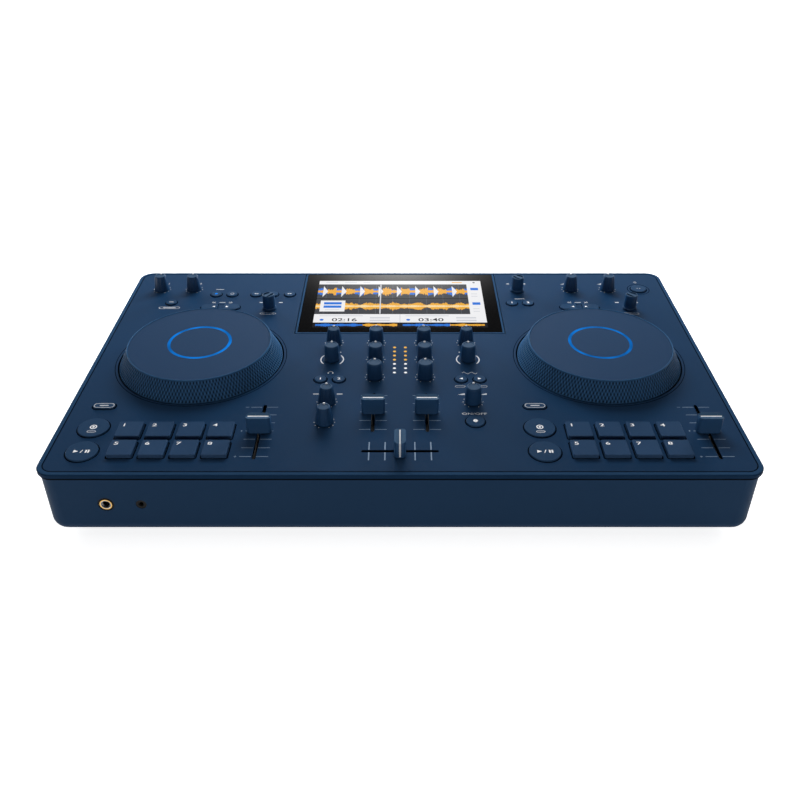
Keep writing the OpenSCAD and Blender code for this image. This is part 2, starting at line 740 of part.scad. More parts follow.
// Flanged bush that carries the jog shaft
module jog_bearing() difference() {
  translate([0, 0, -board_drop]) {
    cylinder(d = jog_shaft_d + 30, h = 3);
    cylinder(d = jog_shaft_d + 14, h = board_drop - wheel_hub_drop - 0.5);
  }
  translate([0, 0, -board_drop + 0.01]) cylinder(d = jog_shaft_d + 2 * running_gap, h = board_drop);
}

// Sockets

// Round socket along +Y from its mouth, with a counterbore for a ring
module jack_body(d, bore_d, len, seat_d, seat_depth) rotate([-90, 0, 0]) difference() {
  cylinder(d = d, h = len);
  translate([0, 0, -cut]) cylinder(d = bore_d, h = len - 3 + cut);
  translate([0, 0, -cut]) cylinder(d = seat_d, h = seat_depth + cut);
}

module front_sockets() {
  translate([phones_at_x, wall_front + 0.3, top_z - socket_drop]) {
    color(black) jack_body(jack_d, jack_bore_d, jack_len, ring_d + 0.1, ring_seat);
    color("goldenrod") rotate([-90, 0, 0]) translate([0, 0, -ring_proud]) difference() {
      cylinder(d = ring_d, h = ring_seat + ring_proud - ring_film);
      translate([0, 0, -cut]) cylinder(d = ring_bore_d, h = ring_seat + ring_proud + 2 * cut);
    }
  }
  color(black) translate([mini_at_x, wall_front + 0.3, top_z - socket_drop])
    jack_body(mini_d, mini_bore_d, mini_len, mini_bore_d + 1.6, 0.8);
}

ring_seat = 1.4;
ring_proud = 0.6;
// Film of adhesive behind the brass ring
ring_film = 0.02;

module rear_sockets() color(black) {
  for (x = rear_jack_xs) translate([x, wall_back - 0.3, top_z - socket_drop]) rotate(180)
    jack_body(jack_d, jack_bore_d, jack_len, ring_bore_d, 0.8);
  translate([data_port_at_x, wall_back - 0.3, top_z - socket_drop]) rotate([90, 0, 0]) difference() {
    linear_extrude(port_len) square([data_port_w, data_port_h] + [2, 2] * port_wall, center = true);
    translate([0, 0, -cut]) linear_extrude(port_len - 2 + cut)
      square([data_port_w, data_port_h], center = true);
  }
  translate([power_port_at_x, wall_back - 0.3, top_z - socket_drop]) rotate([90, 90, 0]) difference() {
    linear_extrude(port_len) slot_outline(power_port_h + 2 * port_wall, power_port_w + 2 * port_wall);
    translate([0, 0, -cut]) linear_extrude(port_len - 2 + cut) slot_outline(power_port_h, power_port_w);
  }
}

// Jog wheels

// Facet j of the slope: X climbs the slope, Y runs along the rim, Z points out
module on_facet(j) rotate(j * 360 / dimple_columns) translate([jog_r, 0, jog_foot_z])
  rotate([0, jog_lean, 0]) mirror([1, 0, 0]) children();

module jog_wheel(x) color(control_blue) on_panel(jog_at(x)) difference() {
  union() {
    rotate_extrude() polygon([
      [0, jog_deck_z - jog_deck_t],
      [jog_lip_r - jog_wall, jog_deck_z - jog_deck_t],
      [jog_r - jog_wall, jog_base_z],
      [jog_r + 1, jog_base_z],
      [jog_r + 1, jog_foot_z],
      [jog_lip_r + 1, jog_slope_top_z],
      [jog_lip_r - 0.4, jog_h],
      [jog_plate_r + 0.3, jog_h],
      [jog_plate_r + 0.3, jog_deck_z],
      [0, jog_deck_z]
    ]);
    translate([0, 0, -wheel_hub_drop]) cylinder(r = jog_hub_r, h = wheel_hub_drop + jog_deck_z - overlap);
    translate([0, 0, -jog_shaft_drop]) cylinder(d = jog_shaft_d, h = jog_shaft_drop);
  }
  for (j = [0:dimple_columns - 1]) on_facet(j) {
    translate([-8, -jog_r * PI / dimple_columns - 2, 0])
      cube([jog_side + 16, 2 * jog_r * PI / dimple_columns + 4, 8]);
    for (i = [0:dimple_rows - 1 - j % 2])
      translate([jog_side * (i + 0.65 + (j % 2) / 2) / (dimple_rows + 0.3), 0, dimple_ball_r - dimple_depth])
        sphere(dimple_ball_r);
  }
}

module jog_plate(x) color(panel_blue) on_panel(jog_at(x)) translate([0, 0, jog_deck_z]) difference() {
  cylinder(r = jog_plate_r, h = jog_plate_t);
  translate([0, 0, jog_plate_t - light_depth]) difference() {
    cylinder(r = light_r + light_w / 2 + light_gap, h = light_depth + cut);
    translate([0, 0, -cut]) cylinder(r = light_r - light_w / 2 - light_gap, h = light_depth + 3 * cut);
  }
}

light_gap = 0.1;

module jog_light(x) color("dodgerblue") on_panel(jog_at(x))
  translate([0, 0, jog_deck_z + jog_plate_t - light_depth]) difference() {
    cylinder(r = light_r + light_w / 2, h = light_depth);
    translate([0, 0, -cut]) cylinder(r = light_r - light_w / 2, h = light_depth + 2 * cut);
  }

// Buttons, keys and pads

cap_edge_r = 0.5;

module round_button(spot, d) color(control_blue) on_panel(spot) {
  rounded_up(button_h) rotate_extrude() half_section(d / 2, button_h + cap_skirt, cap_edge_r);
  plunger();
}

module shift_button(x) color(control_blue) on_panel(shift_at(x)) {
  rounded_up(button_h) for (a = [0, 180]) rotate(a) translate([shift_w / 4, 0, 0])
    soft_half_pill(shift_w / 2, shift_d, button_h + cap_skirt, cap_edge_r);
  plunger();
}

module pads(x) color(control_blue) for (c = pad_cells) on_panel(pad_at(x, c[0], c[1])) {
  rounded_up(pad_h) soft_block(pad_size, pad_size, pad_h + cap_skirt, pad_corner_r, cap_edge_r);
  plunger();
}

module jump_keys(x) color(control_blue) for (a = [0, 180]) on_panel(jump_at(x)) rotate(a)
  translate([jump_x, 0, 0]) {
    rounded_up(button_h) soft_half_pill(jump_key_w, jump_d, button_h + cap_skirt, cap_edge_r);
    plunger();
  }

module button_group(spots) for (spot = spots) round_button(spot, button_d);

// Faders

// Cap with hollowed long sides and top, on a flat stem; it slides along Y
module fader(spot, turn) color(control_blue) on_panel(spot) rotate(turn) {
  difference() {
    rounded_up(cap_h) soft_block(cap_l, cap_w, cap_h - cap_float, cap_corner_r, cap_top_edge_r);
    for (s = [-1, 1]) translate([0, s * (cap_w / 2 + cap_scoop_r - cap_scoop), (cap_h + cap_float) / 2])
      rotate([0, 90, 0]) cylinder(r = cap_scoop_r, h = cap_l + 2 * cut, center = true);
    translate([0, 0, cap_h + cap_top_r - cap_scoop])
      rotate([0, 90, 0]) cylinder(r = cap_top_r, h = cap_l + 2 * cut, center = true);
  }
  translate([-stem_w / 2, -stem_l / 2, -stem_drop]) cube([stem_w, stem_l, stem_drop + cap_h / 2]);
}

cap_corner_r = 3.8;
cap_top_edge_r = 1;
cap_scoop = 0.7;
cap_scoop_r = 42;
cap_top_r = 14;

// Knobs

// Shaft of a knob, down into its potentiometer
module knob_shaft() translate([0, 0, -shaft_drop]) cylinder(d = shaft_d, h = shaft_drop + knob_h / 2);

// Turned knob: foot, tapered grip, rounded shoulder and dished top
module turned_knob(foot_r, top_r) {
  rotate_extrude() polygon([
    [0, knob_float],
    [foot_r, knob_float],
    [foot_r, knob_float + 1.2],
    [top_r + 0.3, knob_h - 1.5],
    [top_r + 0.05, knob_h - 0.8],
    [top_r - 0.4, knob_h - 0.25],
    [top_r - 0.9, knob_h],
    [top_r - 1.4, knob_h],
    [top_r - 1.9, knob_h - 0.4],
    [0, knob_h - 0.4]
  ]);
  knob_shaft();
}

module wide_knob(spot) color(control_blue) on_panel(spot) turned_knob(wide_knob_d / 2, wide_knob_top_d / 2);

// Tapered knob with shallow flutes that follow its slope
module taper_knob(spot) color(control_blue) on_panel(spot) difference() {
  turned_knob(taper_knob_d / 2, taper_knob_top_d / 2);
  for (k = [0:flute_count - 1]) rotate(k * 360 / flute_count)
    translate([taper_knob_d / 2 + flute_r - flute_depth, 0, flute_foot])
      rotate([0, -atan2((taper_knob_d - taper_knob_top_d) / 2, knob_h - flute_foot), 0])
        cylinder(r = flute_r, h = knob_h + cut);
}

flute_r = 3;
flute_depth = 0.45;
flute_foot = 3;

// Encoder with a ring foot and a bar across its hollowed top
module encoder(spot, turn) color(control_blue) on_panel(spot) {
  difference() {
    rotate_extrude() polygon([
      [0, knob_float],
      [encoder_foot_d / 2, knob_float],
      [encoder_foot_d / 2, knob_float + 1.6],
      [encoder_d / 2 + 0.2, knob_float + 2.4],
      [encoder_d / 2, knob_h - 0.6],
      [encoder_d / 2 - 0.6, knob_h],
      [0, knob_h]
    ]);
    translate([0, 0, knob_h - 1.2]) difference() {
      cylinder(d = encoder_d - 2.4, h = 1.2 + cut);
      rotate(turn) translate([-encoder_d, -encoder_bar_w / 2, -cut])
        cube([2 * encoder_d, encoder_bar_w, 1.2 + 3 * cut]);
    }
  }
  knob_shaft();
}

// Turn of the encoders' bars at rest
loop_left_turn = 55;
loop_right_turn = -50;

lower_case();
top_frame();
top_panel();
rubber_feet();
case_screws();
display_glass();
display_panel();
meter_leds();
main_board();
battery_pack();
control_bodies();
front_sockets();
rear_sockets();
jog_wheel(-deck_x);  // left_jog_wheel
jog_wheel(deck_x);  // right_jog_wheel
jog_plate(-deck_x);  // left_jog_plate
jog_plate(deck_x);  // right_jog_plate
jog_light(-deck_x);  // left_jog_light
jog_light(deck_x);  // right_jog_light
shift_button(-deck_x);  // left_shift_button
shift_button(deck_x);  // right_shift_button
round_button(transport_at(-deck_x, 0), transport_d);  // left_cue_button
round_button(transport_at(deck_x, 0), transport_d);  // right_cue_button
round_button(transport_at(-deck_x, 1), transport_d);  // left_play_button
round_button(transport_at(deck_x, 1), transport_d);  // right_play_button
pads(-deck_x);  // left_pads
pads(deck_x);  // right_pads
jump_keys(-deck_x);  // left_jump_keys
jump_keys(deck_x);  // right_jump_keys
fader(tempo_at(-deck_x), 0);  // left_tempo_fader
fader(tempo_at(deck_x), 0);  // right_tempo_fader
fader(channel_at(-1), 0);  // left_channel_fader
fader(channel_at(1), 0);  // right_channel_fader
fader(cross_at, 90);  // crossfader
encoder(left_loop_at, loop_left_turn);  // left_loop_encoder
encoder(right_loop_at, loop_right_turn);  // right_loop_encoder
encoder(browse_at, loop_right_turn);  // browse_encoder
wide_knob(tone_at(-1, 0));  // left_high_knob
wide_knob(tone_at(-1, 1));  // left_mid_knob
wide_knob(tone_at(-1, 2));  // left_low_knob
wide_knob(tone_at(1, 0));  // right_high_knob
wide_knob(tone_at(1, 1));  // right_mid_knob
wide_knob(tone_at(1, 2));  // right_low_knob
taper_knob(left_gain_at);  // left_gain_knob
taper_knob(right_gain_at);  // right_gain_knob
wide_knob(left_filter_at);  // left_filter_knob
wide_knob(right_filter_at);  // right_filter_knob
taper_knob(cue_mix_at);  // cue_mix_knob
taper_knob(cue_level_at);  // cue_level_knob
wide_knob(effect_level_at);  // effect_level_knob
taper_knob(mic_level_at);  // mic_level_knob
taper_knob(mic_tone_at);  // mic_tone_knob
taper_knob(phones_level_at);  // phones_level_knob
taper_knob(output_level_at);  // output_level_knob
button_group(phones_spots);  // phones_buttons
button_group(effect_spots);  // effect_buttons
round_button(effect_switch_at, switch_d);  // effect_switch
button_group(load_spots);  // load_buttons
button_group(rear_spots);  // rear_buttons
round_button(power_at, switch_d);  // power_button
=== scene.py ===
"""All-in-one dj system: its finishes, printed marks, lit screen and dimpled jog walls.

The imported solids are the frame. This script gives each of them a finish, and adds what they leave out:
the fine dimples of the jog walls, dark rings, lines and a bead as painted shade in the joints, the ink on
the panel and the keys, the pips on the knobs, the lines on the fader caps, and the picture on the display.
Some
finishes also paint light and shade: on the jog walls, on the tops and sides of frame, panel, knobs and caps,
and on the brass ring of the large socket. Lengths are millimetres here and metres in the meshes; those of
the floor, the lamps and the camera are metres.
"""

import bpy
import numpy as np
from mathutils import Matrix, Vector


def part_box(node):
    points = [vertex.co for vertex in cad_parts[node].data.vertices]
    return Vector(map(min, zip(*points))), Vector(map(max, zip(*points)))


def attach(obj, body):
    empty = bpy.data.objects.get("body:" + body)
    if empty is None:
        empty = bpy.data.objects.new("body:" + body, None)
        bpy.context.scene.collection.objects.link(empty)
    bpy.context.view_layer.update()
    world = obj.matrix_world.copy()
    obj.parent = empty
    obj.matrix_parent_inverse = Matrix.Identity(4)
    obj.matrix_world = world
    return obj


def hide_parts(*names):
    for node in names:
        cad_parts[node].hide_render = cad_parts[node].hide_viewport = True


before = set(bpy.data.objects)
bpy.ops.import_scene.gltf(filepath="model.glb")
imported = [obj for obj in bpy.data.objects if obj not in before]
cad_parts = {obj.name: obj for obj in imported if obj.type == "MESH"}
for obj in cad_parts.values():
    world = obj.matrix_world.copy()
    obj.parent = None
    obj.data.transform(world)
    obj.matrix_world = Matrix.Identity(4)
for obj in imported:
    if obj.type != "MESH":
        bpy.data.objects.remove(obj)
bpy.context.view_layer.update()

MM = 0.001


# Places, read from the solids where they give them

def middle(node):
    """Centre of a node's box in plan and the height of its top, in millimetres."""
    low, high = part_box(node)
    return np.array([(low.x + high.x) / 2, (low.y + high.y) / 2]) / MM, high.z / MM


PANEL_Z = middle("top_panel")[1]
DECKS = {"left": middle("left_jog_plate")[0], "right": middle("right_jog_plate")[0]}
GLASS_Z = middle("display_glass")[1]

INK_LIFT = 0.03
BUTTON_TOP = middle("power_button")[1]
PAD_TOP = middle("left_pads")[1]

KNOBS = {
    "wide": [
        "left_high_knob", "left_mid_knob", "left_low_knob",
        "right_high_knob", "right_mid_knob", "right_low_knob",
        "left_filter_knob", "right_filter_knob", "effect_level_knob",
    ],
    "tapered": [
        "left_gain_knob", "right_gain_knob", "cue_mix_knob", "cue_level_knob",
        "mic_level_knob", "mic_tone_knob", "phones_level_knob", "output_level_knob",
    ],
    "encoder": ["left_loop_encoder", "right_loop_encoder", "browse_encoder"],
}
FADERS = ["left_tempo_fader", "right_tempo_fader", "left_channel_fader", "right_channel_fader"]
DECK_KEYS = ["shift_button", "cue_button", "play_button", "jump_keys"]
SHARED_KEYS = [
    "phones_buttons", "effect_buttons", "effect_switch", "load_buttons", "rear_buttons", "power_button",
]


# Meshes

def new_piece(name, points, faces, body, finish, smooth=False):
    """A mesh of the given points, in millimetres, and faces, riding on a body of the frame."""
    mesh = bpy.data.meshes.new(name)
    mesh.from_pydata((np.asarray(points) * MM).tolist(), [], faces)
    mesh.polygons.foreach_set("use_smooth", np.full(len(mesh.polygons), smooth))
    mesh.materials.append(finish)
    mesh.update()
    piece = bpy.data.objects.new(name, mesh)
    bpy.context.scene.collection.objects.link(piece)
    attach(piece, body)
    return piece


def turned_grid(radius, height, angles):
    """Points of a turned surface: each row of radii is carried round the axis through all the angles."""
    x = radius * np.cos(angles)
    y = radius * np.sin(angles)
    return np.stack([x, y, np.broadcast_to(height, x.shape)], axis=-1)


def ring_faces(rows, columns, closed=False):
    """Four-cornered faces between neighbouring rows of a grid.

    The columns close on themselves, and so do the rows if that is asked for.
    """
    row, column = np.meshgrid(np.arange(rows if closed else rows - 1), np.arange(columns), indexing="ij")
    here = row * columns
    above = (row + 1) % rows * columns
    after = (column + 1) % columns
    corners = [here + column, here + after, above + after, above + column]
    return np.stack(corners, axis=-1).reshape(-1, 4).tolist()


def fan_faces(pole, first, columns, upward):
    """Triangles from a pole to the closed row that starts at a given point."""
    column = np.arange(columns)
    around = np.stack([np.full(columns, pole), first + column, first + (column + 1) % columns], axis=-1)
    return (around if upward else around[:, ::-1]).tolist()


# Flat marks: each function gives an array of polygons, corners counter-clockwise

def bars(centres, size, turn=0.0):
    """Rectangles: half the size, signed for each corner, turned and added to each centre."""
    half = np.array([[-1, -1], [1, -1], [1, 1], [-1, 1]]) * np.asarray(size) / 2
    c, s = np.cos(turn), np.sin(turn)
    return np.asarray(centres, float).reshape(-1, 1, 2) + half @ np.array([[c, s], [-s, c]])


def discs(centres, radius, sides=20):
    """Regular polygons of many sides: the circle's points added to each centre."""
    angle = np.arange(sides) * 2 * np.pi / sides
    ring = radius * np.stack([np.cos(angle), np.sin(angle)], axis=-1)
    return np.asarray(centres, float).reshape(-1, 1, 2) + ring


def corner_shape(centre, corners):
    """One polygon from a list of corners about a centre."""
    return (np.asarray(corners, float) + np.asarray(centre, float))[None]


def band(inner, outer):
    """Strip of four-cornered faces between two lines of as many points."""
    return np.stack([inner[:-1], outer[:-1], outer[1:], inner[1:]], axis=1)


def arc(centre, radius, line, start, end, steps=28):
    """Part of a ring, from start to end degrees: two arcs, half a line inside and outside a radius."""
    angle = np.radians(np.linspace(start, end, steps + 1))
    way = np.stack([np.cos(angle), np.sin(angle)], axis=-1)
    return np.asarray(centre, float) + band(way * (radius - line / 2), way * (radius + line / 2))


def block_edge(width, depth, radius, steps=8):
    """Closed outline of a rounded block: a quarter circle, mirrored into each corner and joined by sides."""
    angle = np.linspace(0, np.pi / 2, steps)
    centre = [width / 2 - radius, depth / 2 - radius]
    corner = np.stack([np.cos(angle), np.sin(angle)], axis=-1) * radius + centre
    edge = np.concatenate([corner, (corner * [-1, 1])[::-1], -corner, (corner * [1, -1])[::-1]])
    return np.concatenate([edge, edge[:1]])


def block_line(centre, width, depth, radius, line):
    """Outline of a rounded block, drawn with a line of even width."""
    inner = block_edge(width - line, depth - line, radius - line / 2)
    outer = block_edge(width + line, depth + line, radius + line / 2)
    return np.asarray(centre, float) + band(inner, outer)


def pill_line(centre, width, depth, line):
    """Outline of a bar with round ends."""
    return block_line(centre, width, depth, depth / 2, line)


LETTER_WEIGHT = 0.01


def lettering(words, centre, height, stretch=1.35):
    """Plain figures or letters as a flat mesh, widened by a stretch and centred: points and faces."""
    curve = bpy.data.curves.new("figure", "FONT")
    curve.body = words
    curve.offset = LETTER_WEIGHT
    holder = bpy.data.objects.new("figure", curve)
    mesh = bpy.data.meshes.new_from_object(holder)
    points = np.empty(len(mesh.vertices) * 3)
    mesh.vertices.foreach_get("co", points)
    points = points.reshape(-1, 3)[:, :2]
    faces = [list(polygon.vertices) for polygon in mesh.polygons]
    low, high = points.min(axis=0), points.max(axis=0)
    scale = height / (high[1] - low[1])
    points = (points - (low + high) / 2) * scale * [stretch, 1] + centre
    bpy.data.objects.remove(holder)
    bpy.data.curves.remove(curve)
    bpy.data.meshes.remove(mesh)
    return points, faces


def flat_piece(name, shapes, height, body, finish):
    """One piece from flat marks at a height: arrays of polygons, or points with their faces."""
    points, faces, count = [], [], 0
    for shape in shapes:
        if isinstance(shape, tuple):
            corners, polygons = shape
            faces += [[index + count for index in polygon] for polygon in polygons]
        else:
            number, sides = shape.shape[:2]
            corners = shape.reshape(-1, 2)
            faces += (np.arange(number * sides).reshape(number, sides) + count).tolist()
        points.append(corners)
        count += len(corners)
    plan = np.concatenate(points)
    return new_piece(name, np.column_stack([plan, np.full(count, height)]), faces, body, finish)


# Finishes

def link(tree, source, target):
    """Joins an output to an input."""
    tree.links.new(source, target)


def settle(node, values):
    """Sets inputs of a node, given by their labels."""
    for label, value in values.items():
        node.inputs[label].default_value = value


def coordinates(tree, kind="Object"):
    """A piece's own coordinates, or another kind that the label names."""
    return tree.nodes.new("ShaderNodeTexCoord").outputs[kind]


def axes(tree, vector):
    """The X, Y and Z of a vector."""
    split = tree.nodes.new("ShaderNodeSeparateXYZ")
    link(tree, vector, split.inputs[0])
    return split.outputs


def shader_group(name, inputs, outputs):
    """An empty shader group with named float inputs, given with their usual values, and named outputs."""
    group = bpy.data.node_groups.new(name, "ShaderNodeTree")
    for label, value in inputs.items():
        socket = group.interface.new_socket(label, in_out="INPUT", socket_type="NodeSocketFloat")
        socket.default_value = value
    for label in outputs:
        group.interface.new_socket(label, in_out="OUTPUT", socket_type="NodeSocketFloat")
    return group, group.nodes.new("NodeGroupInput"), group.nodes.new("NodeGroupOutput")


def math(tree, operation, first, second):
    """A math node on two values, each a number or a socket."""
    node = tree.nodes.new("ShaderNodeMath")
    node.operation = operation
    for socket, value in zip(node.inputs, (first, second)):
        if isinstance(value, (int, float)):
            socket.default_value = value
        else:
            link(tree, value, socket)
    return node.outputs[0]


def noise(tree, place, scale, detail=2.0):
    """A noise texture on given coordinates; its scale is a number or a socket."""
    node = tree.nodes.new("ShaderNodeTexNoise")
    node.inputs["Detail"].default_value = detail
    link(tree, place, node.inputs["Vector"])
    if isinstance(scale, (int, float)):
        node.inputs["Scale"].default_value = scale
    else:
        link(tree, scale, node.inputs["Scale"])
    return node.outputs["Fac"]


GRAIN_SHARE = 0.65


def moulded_skin_group():
    """Skin of a moulded part: a fine spark grain over slow drifts of tone and of roughness.

    Shade runs from 0 to 1 about one half, Height is the grain, and Roughness is the given one plus its
    drift.
    """
    group, given, result = shader_group(
        "moulded_skin",
        {"Grain": 2600.0, "Drift": 9.0, "Contrast": 0.5, "Roughness": 0.5, "Polish": 0.1},
        ["Shade", "Height", "Roughness"],
    )
    place = coordinates(group)
    grain = noise(group, place, given.outputs["Grain"], 3.0)
    drift = noise(group, place, given.outputs["Drift"], 4.0)
    fine = math(group, "MULTIPLY", grain, GRAIN_SHARE)
    both = math(group, "ADD", fine, math(group, "MULTIPLY", drift, 1 - GRAIN_SHARE))
    spread = math(group, "MULTIPLY", math(group, "SUBTRACT", both, 0.5), given.outputs["Contrast"])
    link(group, math(group, "ADD", spread, 0.5), result.inputs["Shade"])
    link(group, grain, result.inputs["Height"])
    polish = math(group, "MULTIPLY", math(group, "SUBTRACT", drift, 0.5), given.outputs["Polish"])
    link(group, math(group, "ADD", polish, given.outputs["Roughness"]), result.inputs["Roughness"])
    return group


MOULDED_SKIN = moulded_skin_group()


def bare_finish(name):
    """A new material with its tree and its principled shader."""
    finish = bpy.data.materials.new(name)
    finish.use_nodes = True
    tree = finish.node_tree
    return finish, tree, tree.nodes["Principled BSDF"]


def tones(tree, mask, dark, light):
    """Colour between a dark and a light tone, by a mask from 0 to 1."""
    mix = tree.nodes.new("ShaderNodeMix")
    mix.data_type = "RGBA"
    mix.inputs[6].default_value = (*dark, 1)
    mix.inputs[7].default_value = (*light, 1)
    link(tree, mask, mix.inputs[0])
    return mix.outputs[2]


def mixed(tree, mask, first, second, blend="MIX"):
    """Colour between two colour sockets, by a mask that is a number or a socket."""
    mix = tree.nodes.new("ShaderNodeMix")
    mix.data_type = "RGBA"
    mix.blend_type = blend
    mix.clamp_result = False
    if isinstance(mask, (int, float)):
        mix.inputs[0].default_value = mask
    else:
        link(tree, mask, mix.inputs[0])
    link(tree, first, mix.inputs[6])
    link(tree, second, mix.inputs[7])
    return mix.outputs[2]


LEANING = 0.6
UPRIGHT = 0.95


def top_light_share(tree):
    """How far a face looks up, for painted top light: 0 where its normal leans far over, 1 where it stands
    nearly upright.
    """
    share = tree.nodes.new("ShaderNodeMapRange")
    share.interpolation_type = "SMOOTHSTEP"
    link(tree, axes(tree, coordinates(tree, "Normal"))["Z"], share.inputs["Value"])
    settle(share, {"From Min": LEANING, "From Max": UPRIGHT})
    return share.outputs["Result"]


def srgb(red, green, blue):
    """Screen values of a colour, from 0 to 255, as the linear values that a shader takes."""
    value = np.array([red, green, blue]) / 255
    return tuple(np.where(value <= 0.04045, value / 12.92, ((value + 0.055) / 1.055) ** 2.4).tolist())


TOP_SPREAD = 0.1
GRAIN_HEIGHT = 0.2


def moulded(name, colour, roughness=0.5, grain=2600.0, contrast=0.7, bump=0.06, polish=0.12, spread=0.18,
            gloss=0.3, painted_relief_light=None, top=None):
    """A moulded finish: two tones of one colour, mixed by the skin, with the skin's roughness and grain.

    A relief names an attribute that runs from 0 in a hollow to 1 on a ridge, with tones at both ends:
    painted shade in the hollows and painted light on the ridges; the hollows are also made matt. A top is
    the colour of the faces that look up, painted light on the tops of parts whose sides keep the darker tone
    as painted shade.
    """
    finish, tree, shader = bare_finish(name)
    shader.inputs["Specular IOR Level"].default_value = gloss
    skin = tree.nodes.new("ShaderNodeGroup")
    skin.node_tree = MOULDED_SKIN
    settle(skin, {"Grain": grain, "Contrast": contrast, "Roughness": roughness, "Polish": polish})
    base = np.array(colour)
    shade = tones(tree, skin.outputs["Shade"], base * (1 - spread), base * (1 + spread))
    # Painted shade in the hollows and painted light on the ridges, by the attribute; the gloss fades in the
    # hollows too.
    if painted_relief_light:
        attribute, hollow, ridge = painted_relief_light
        painted_light = tree.nodes.new("ShaderNodeAttribute")
        painted_light.attribute_name = attribute
        shade = mixed(tree, 1.0, shade, tones(tree, painted_light.outputs["Fac"], hollow, ridge), "MULTIPLY")
        link(tree, math(tree, "MULTIPLY", painted_light.outputs["Fac"], gloss), shader.inputs["Specular IOR Level"])
    # Painted light on the faces that look up; the sides keep the base tone as painted shade.
    if top:
        base = np.array(top)
        pale = tones(tree, skin.outputs["Shade"], base * (1 - TOP_SPREAD), base * (1 + TOP_SPREAD))
        shade = mixed(tree, top_light_share(tree), shade, pale)
    link(tree, shade, shader.inputs["Base Color"])
    link(tree, skin.outputs["Roughness"], shader.inputs["Roughness"])
    texture = tree.nodes.new("ShaderNodeBump")
    settle(texture, {"Strength": bump, "Distance": GRAIN_HEIGHT * MM})
    link(tree, skin.outputs["Height"], texture.inputs["Height"])
    link(tree, texture.outputs["Normal"], shader.inputs["Normal"])
    return finish


NOISE_LOW = 0.36
NOISE_STRETCH = 3.5


def lit(name, colour, strength, unevenness=0.25, scale=60.0):
    """A lit plastic: its glow drifts between a dimmer and the full colour along the piece."""
    finish, tree, shader = bare_finish(name)
    place = coordinates(tree)
    drift = noise(tree, place, scale, 1.0)
    drift = math(tree, "MULTIPLY", math(tree, "SUBTRACT", drift, NOISE_LOW), NOISE_STRETCH)
    glow = tones(tree, drift, np.array(colour) * (1 - unevenness), np.array(colour))
    link(tree, glow, shader.inputs["Emission Color"])
    settle(shader, {"Emission Strength": strength, "Base Color": (0.002, 0.004, 0.008, 1)})
    settle(shader, {"Specular IOR Level": 0.02, "Roughness": 0.5})
    return finish


# Painted shade in the dimples of the jog walls and painted highlight on their ridges and lip, by an
# attribute.
PAINTED_RELIEF_LIGHT = "painted_relief_light"
HOLLOW_PAINTED_SHADE = (0.06, 0.06, 0.06)
RIDGE_PAINTED_LIGHT = (5.2, 3.5, 2.9)

# Each finish: its colour, then roughness, grain, contrast and bump
CASE_BLUE = moulded("case_moulding", srgb(32, 57, 85), 0.52, 1900.0, 0.8, 0.10, gloss=0.05)
# The frame's sides are painted darker than its top: painted shade under the rim.
FRAME_BLUE = moulded("frame_moulding", srgb(17, 43, 70), 0.52, 1900.0, 0.8, 0.10, gloss=0.04,
                     top=srgb(38, 67, 98))
# The panel's walls, in its holes and at its edge, are painted near black: painted shade in the gaps.
PANEL_BLUE = moulded("panel_satin", srgb(5, 9, 15), 0.54, 2600.0, 0.8, 0.06, gloss=0.38,
                     top=srgb(22, 52, 83))
# The wheel's colour is multiplied by painted shade in the dimples and painted light on the ridges and lip.
WHEEL_BLUE = moulded("wheel_moulding", srgb(20, 51, 83), 0.50, 2600.0, 0.6, 0.05, gloss=0.2,
                     painted_relief_light=(PAINTED_RELIEF_LIGHT, HOLLOW_PAINTED_SHADE, RIDGE_PAINTED_LIGHT))
PLATE_BLUE = moulded("plate_satin", srgb(29, 56, 87), 0.50, 2600.0, 0.6, 0.05, gloss=0.5)
# Knobs, fader caps and crossfader: the tops are painted paler, a painted highlight over the darker sides.
CONTROL_BLUE = moulded("control_moulding", srgb(23, 55, 88), 0.45, 3000.0, 0.6, 0.05, gloss=0.3,
                       top=srgb(54, 78, 104))
CAP_BLUE = moulded("cap_moulding", srgb(34, 66, 100), 0.5, 3000.0, 0.6, 0.05, gloss=0.25,
                   top=srgb(50, 77, 104))
KEY_BLUE = moulded("key_moulding", srgb(30, 60, 91), 0.55, 3000.0, 0.6, 0.05, gloss=0.5)
PAD_BLUE = moulded("pad_rubber", srgb(37, 64, 95), 0.62, 2200.0, 0.8, 0.10, gloss=0.5)
FOOT_BLACK = moulded("foot_rubber", srgb(34, 34, 37), 0.75, 1500.0, 0.8, 0.12)
INNER_GREY = moulded("inner_moulding", srgb(120, 118, 114), 0.55, 1800.0, 0.8, 0.08)
BOARD_GREEN = moulded("board_lacquer", srgb(12, 20, 17), 0.35, 800.0, 0.8, 0.03)
CELL_GREY = moulded("cell_wrap", srgb(70, 72, 76), 0.4, 500.0, 0.5, 0.03)
# Near black for painted shade: the bead under the rim and the rings and lines in the gaps.
GAP_SHADE_BLACK = moulded("gap_shade_paint", srgb(4, 10, 18), 0.7, 2200.0, 0.6, 0.05, gloss=0.02)
INK_WHITE = moulded("mark_ink", srgb(206, 208, 212), 0.55, 4200.0, 0.5, 0.03, 0.1, 0.06)
INK_BRIGHT = moulded("key_ink", srgb(254, 254, 255), 0.55, 4200.0, 0.5, 0.03, 0.1, 0.02)
INK_GREY = moulded("scale_ink", srgb(136, 156, 180), 0.55, 4200.0, 0.5, 0.03, 0.1, 0.08)
RING_GLOW = lit("ring_glow", srgb(8, 124, 222), 1.0, 0.5, 42.0)
KEY_GLOW = lit("key_glow", srgb(24, 140, 255), 1.0)


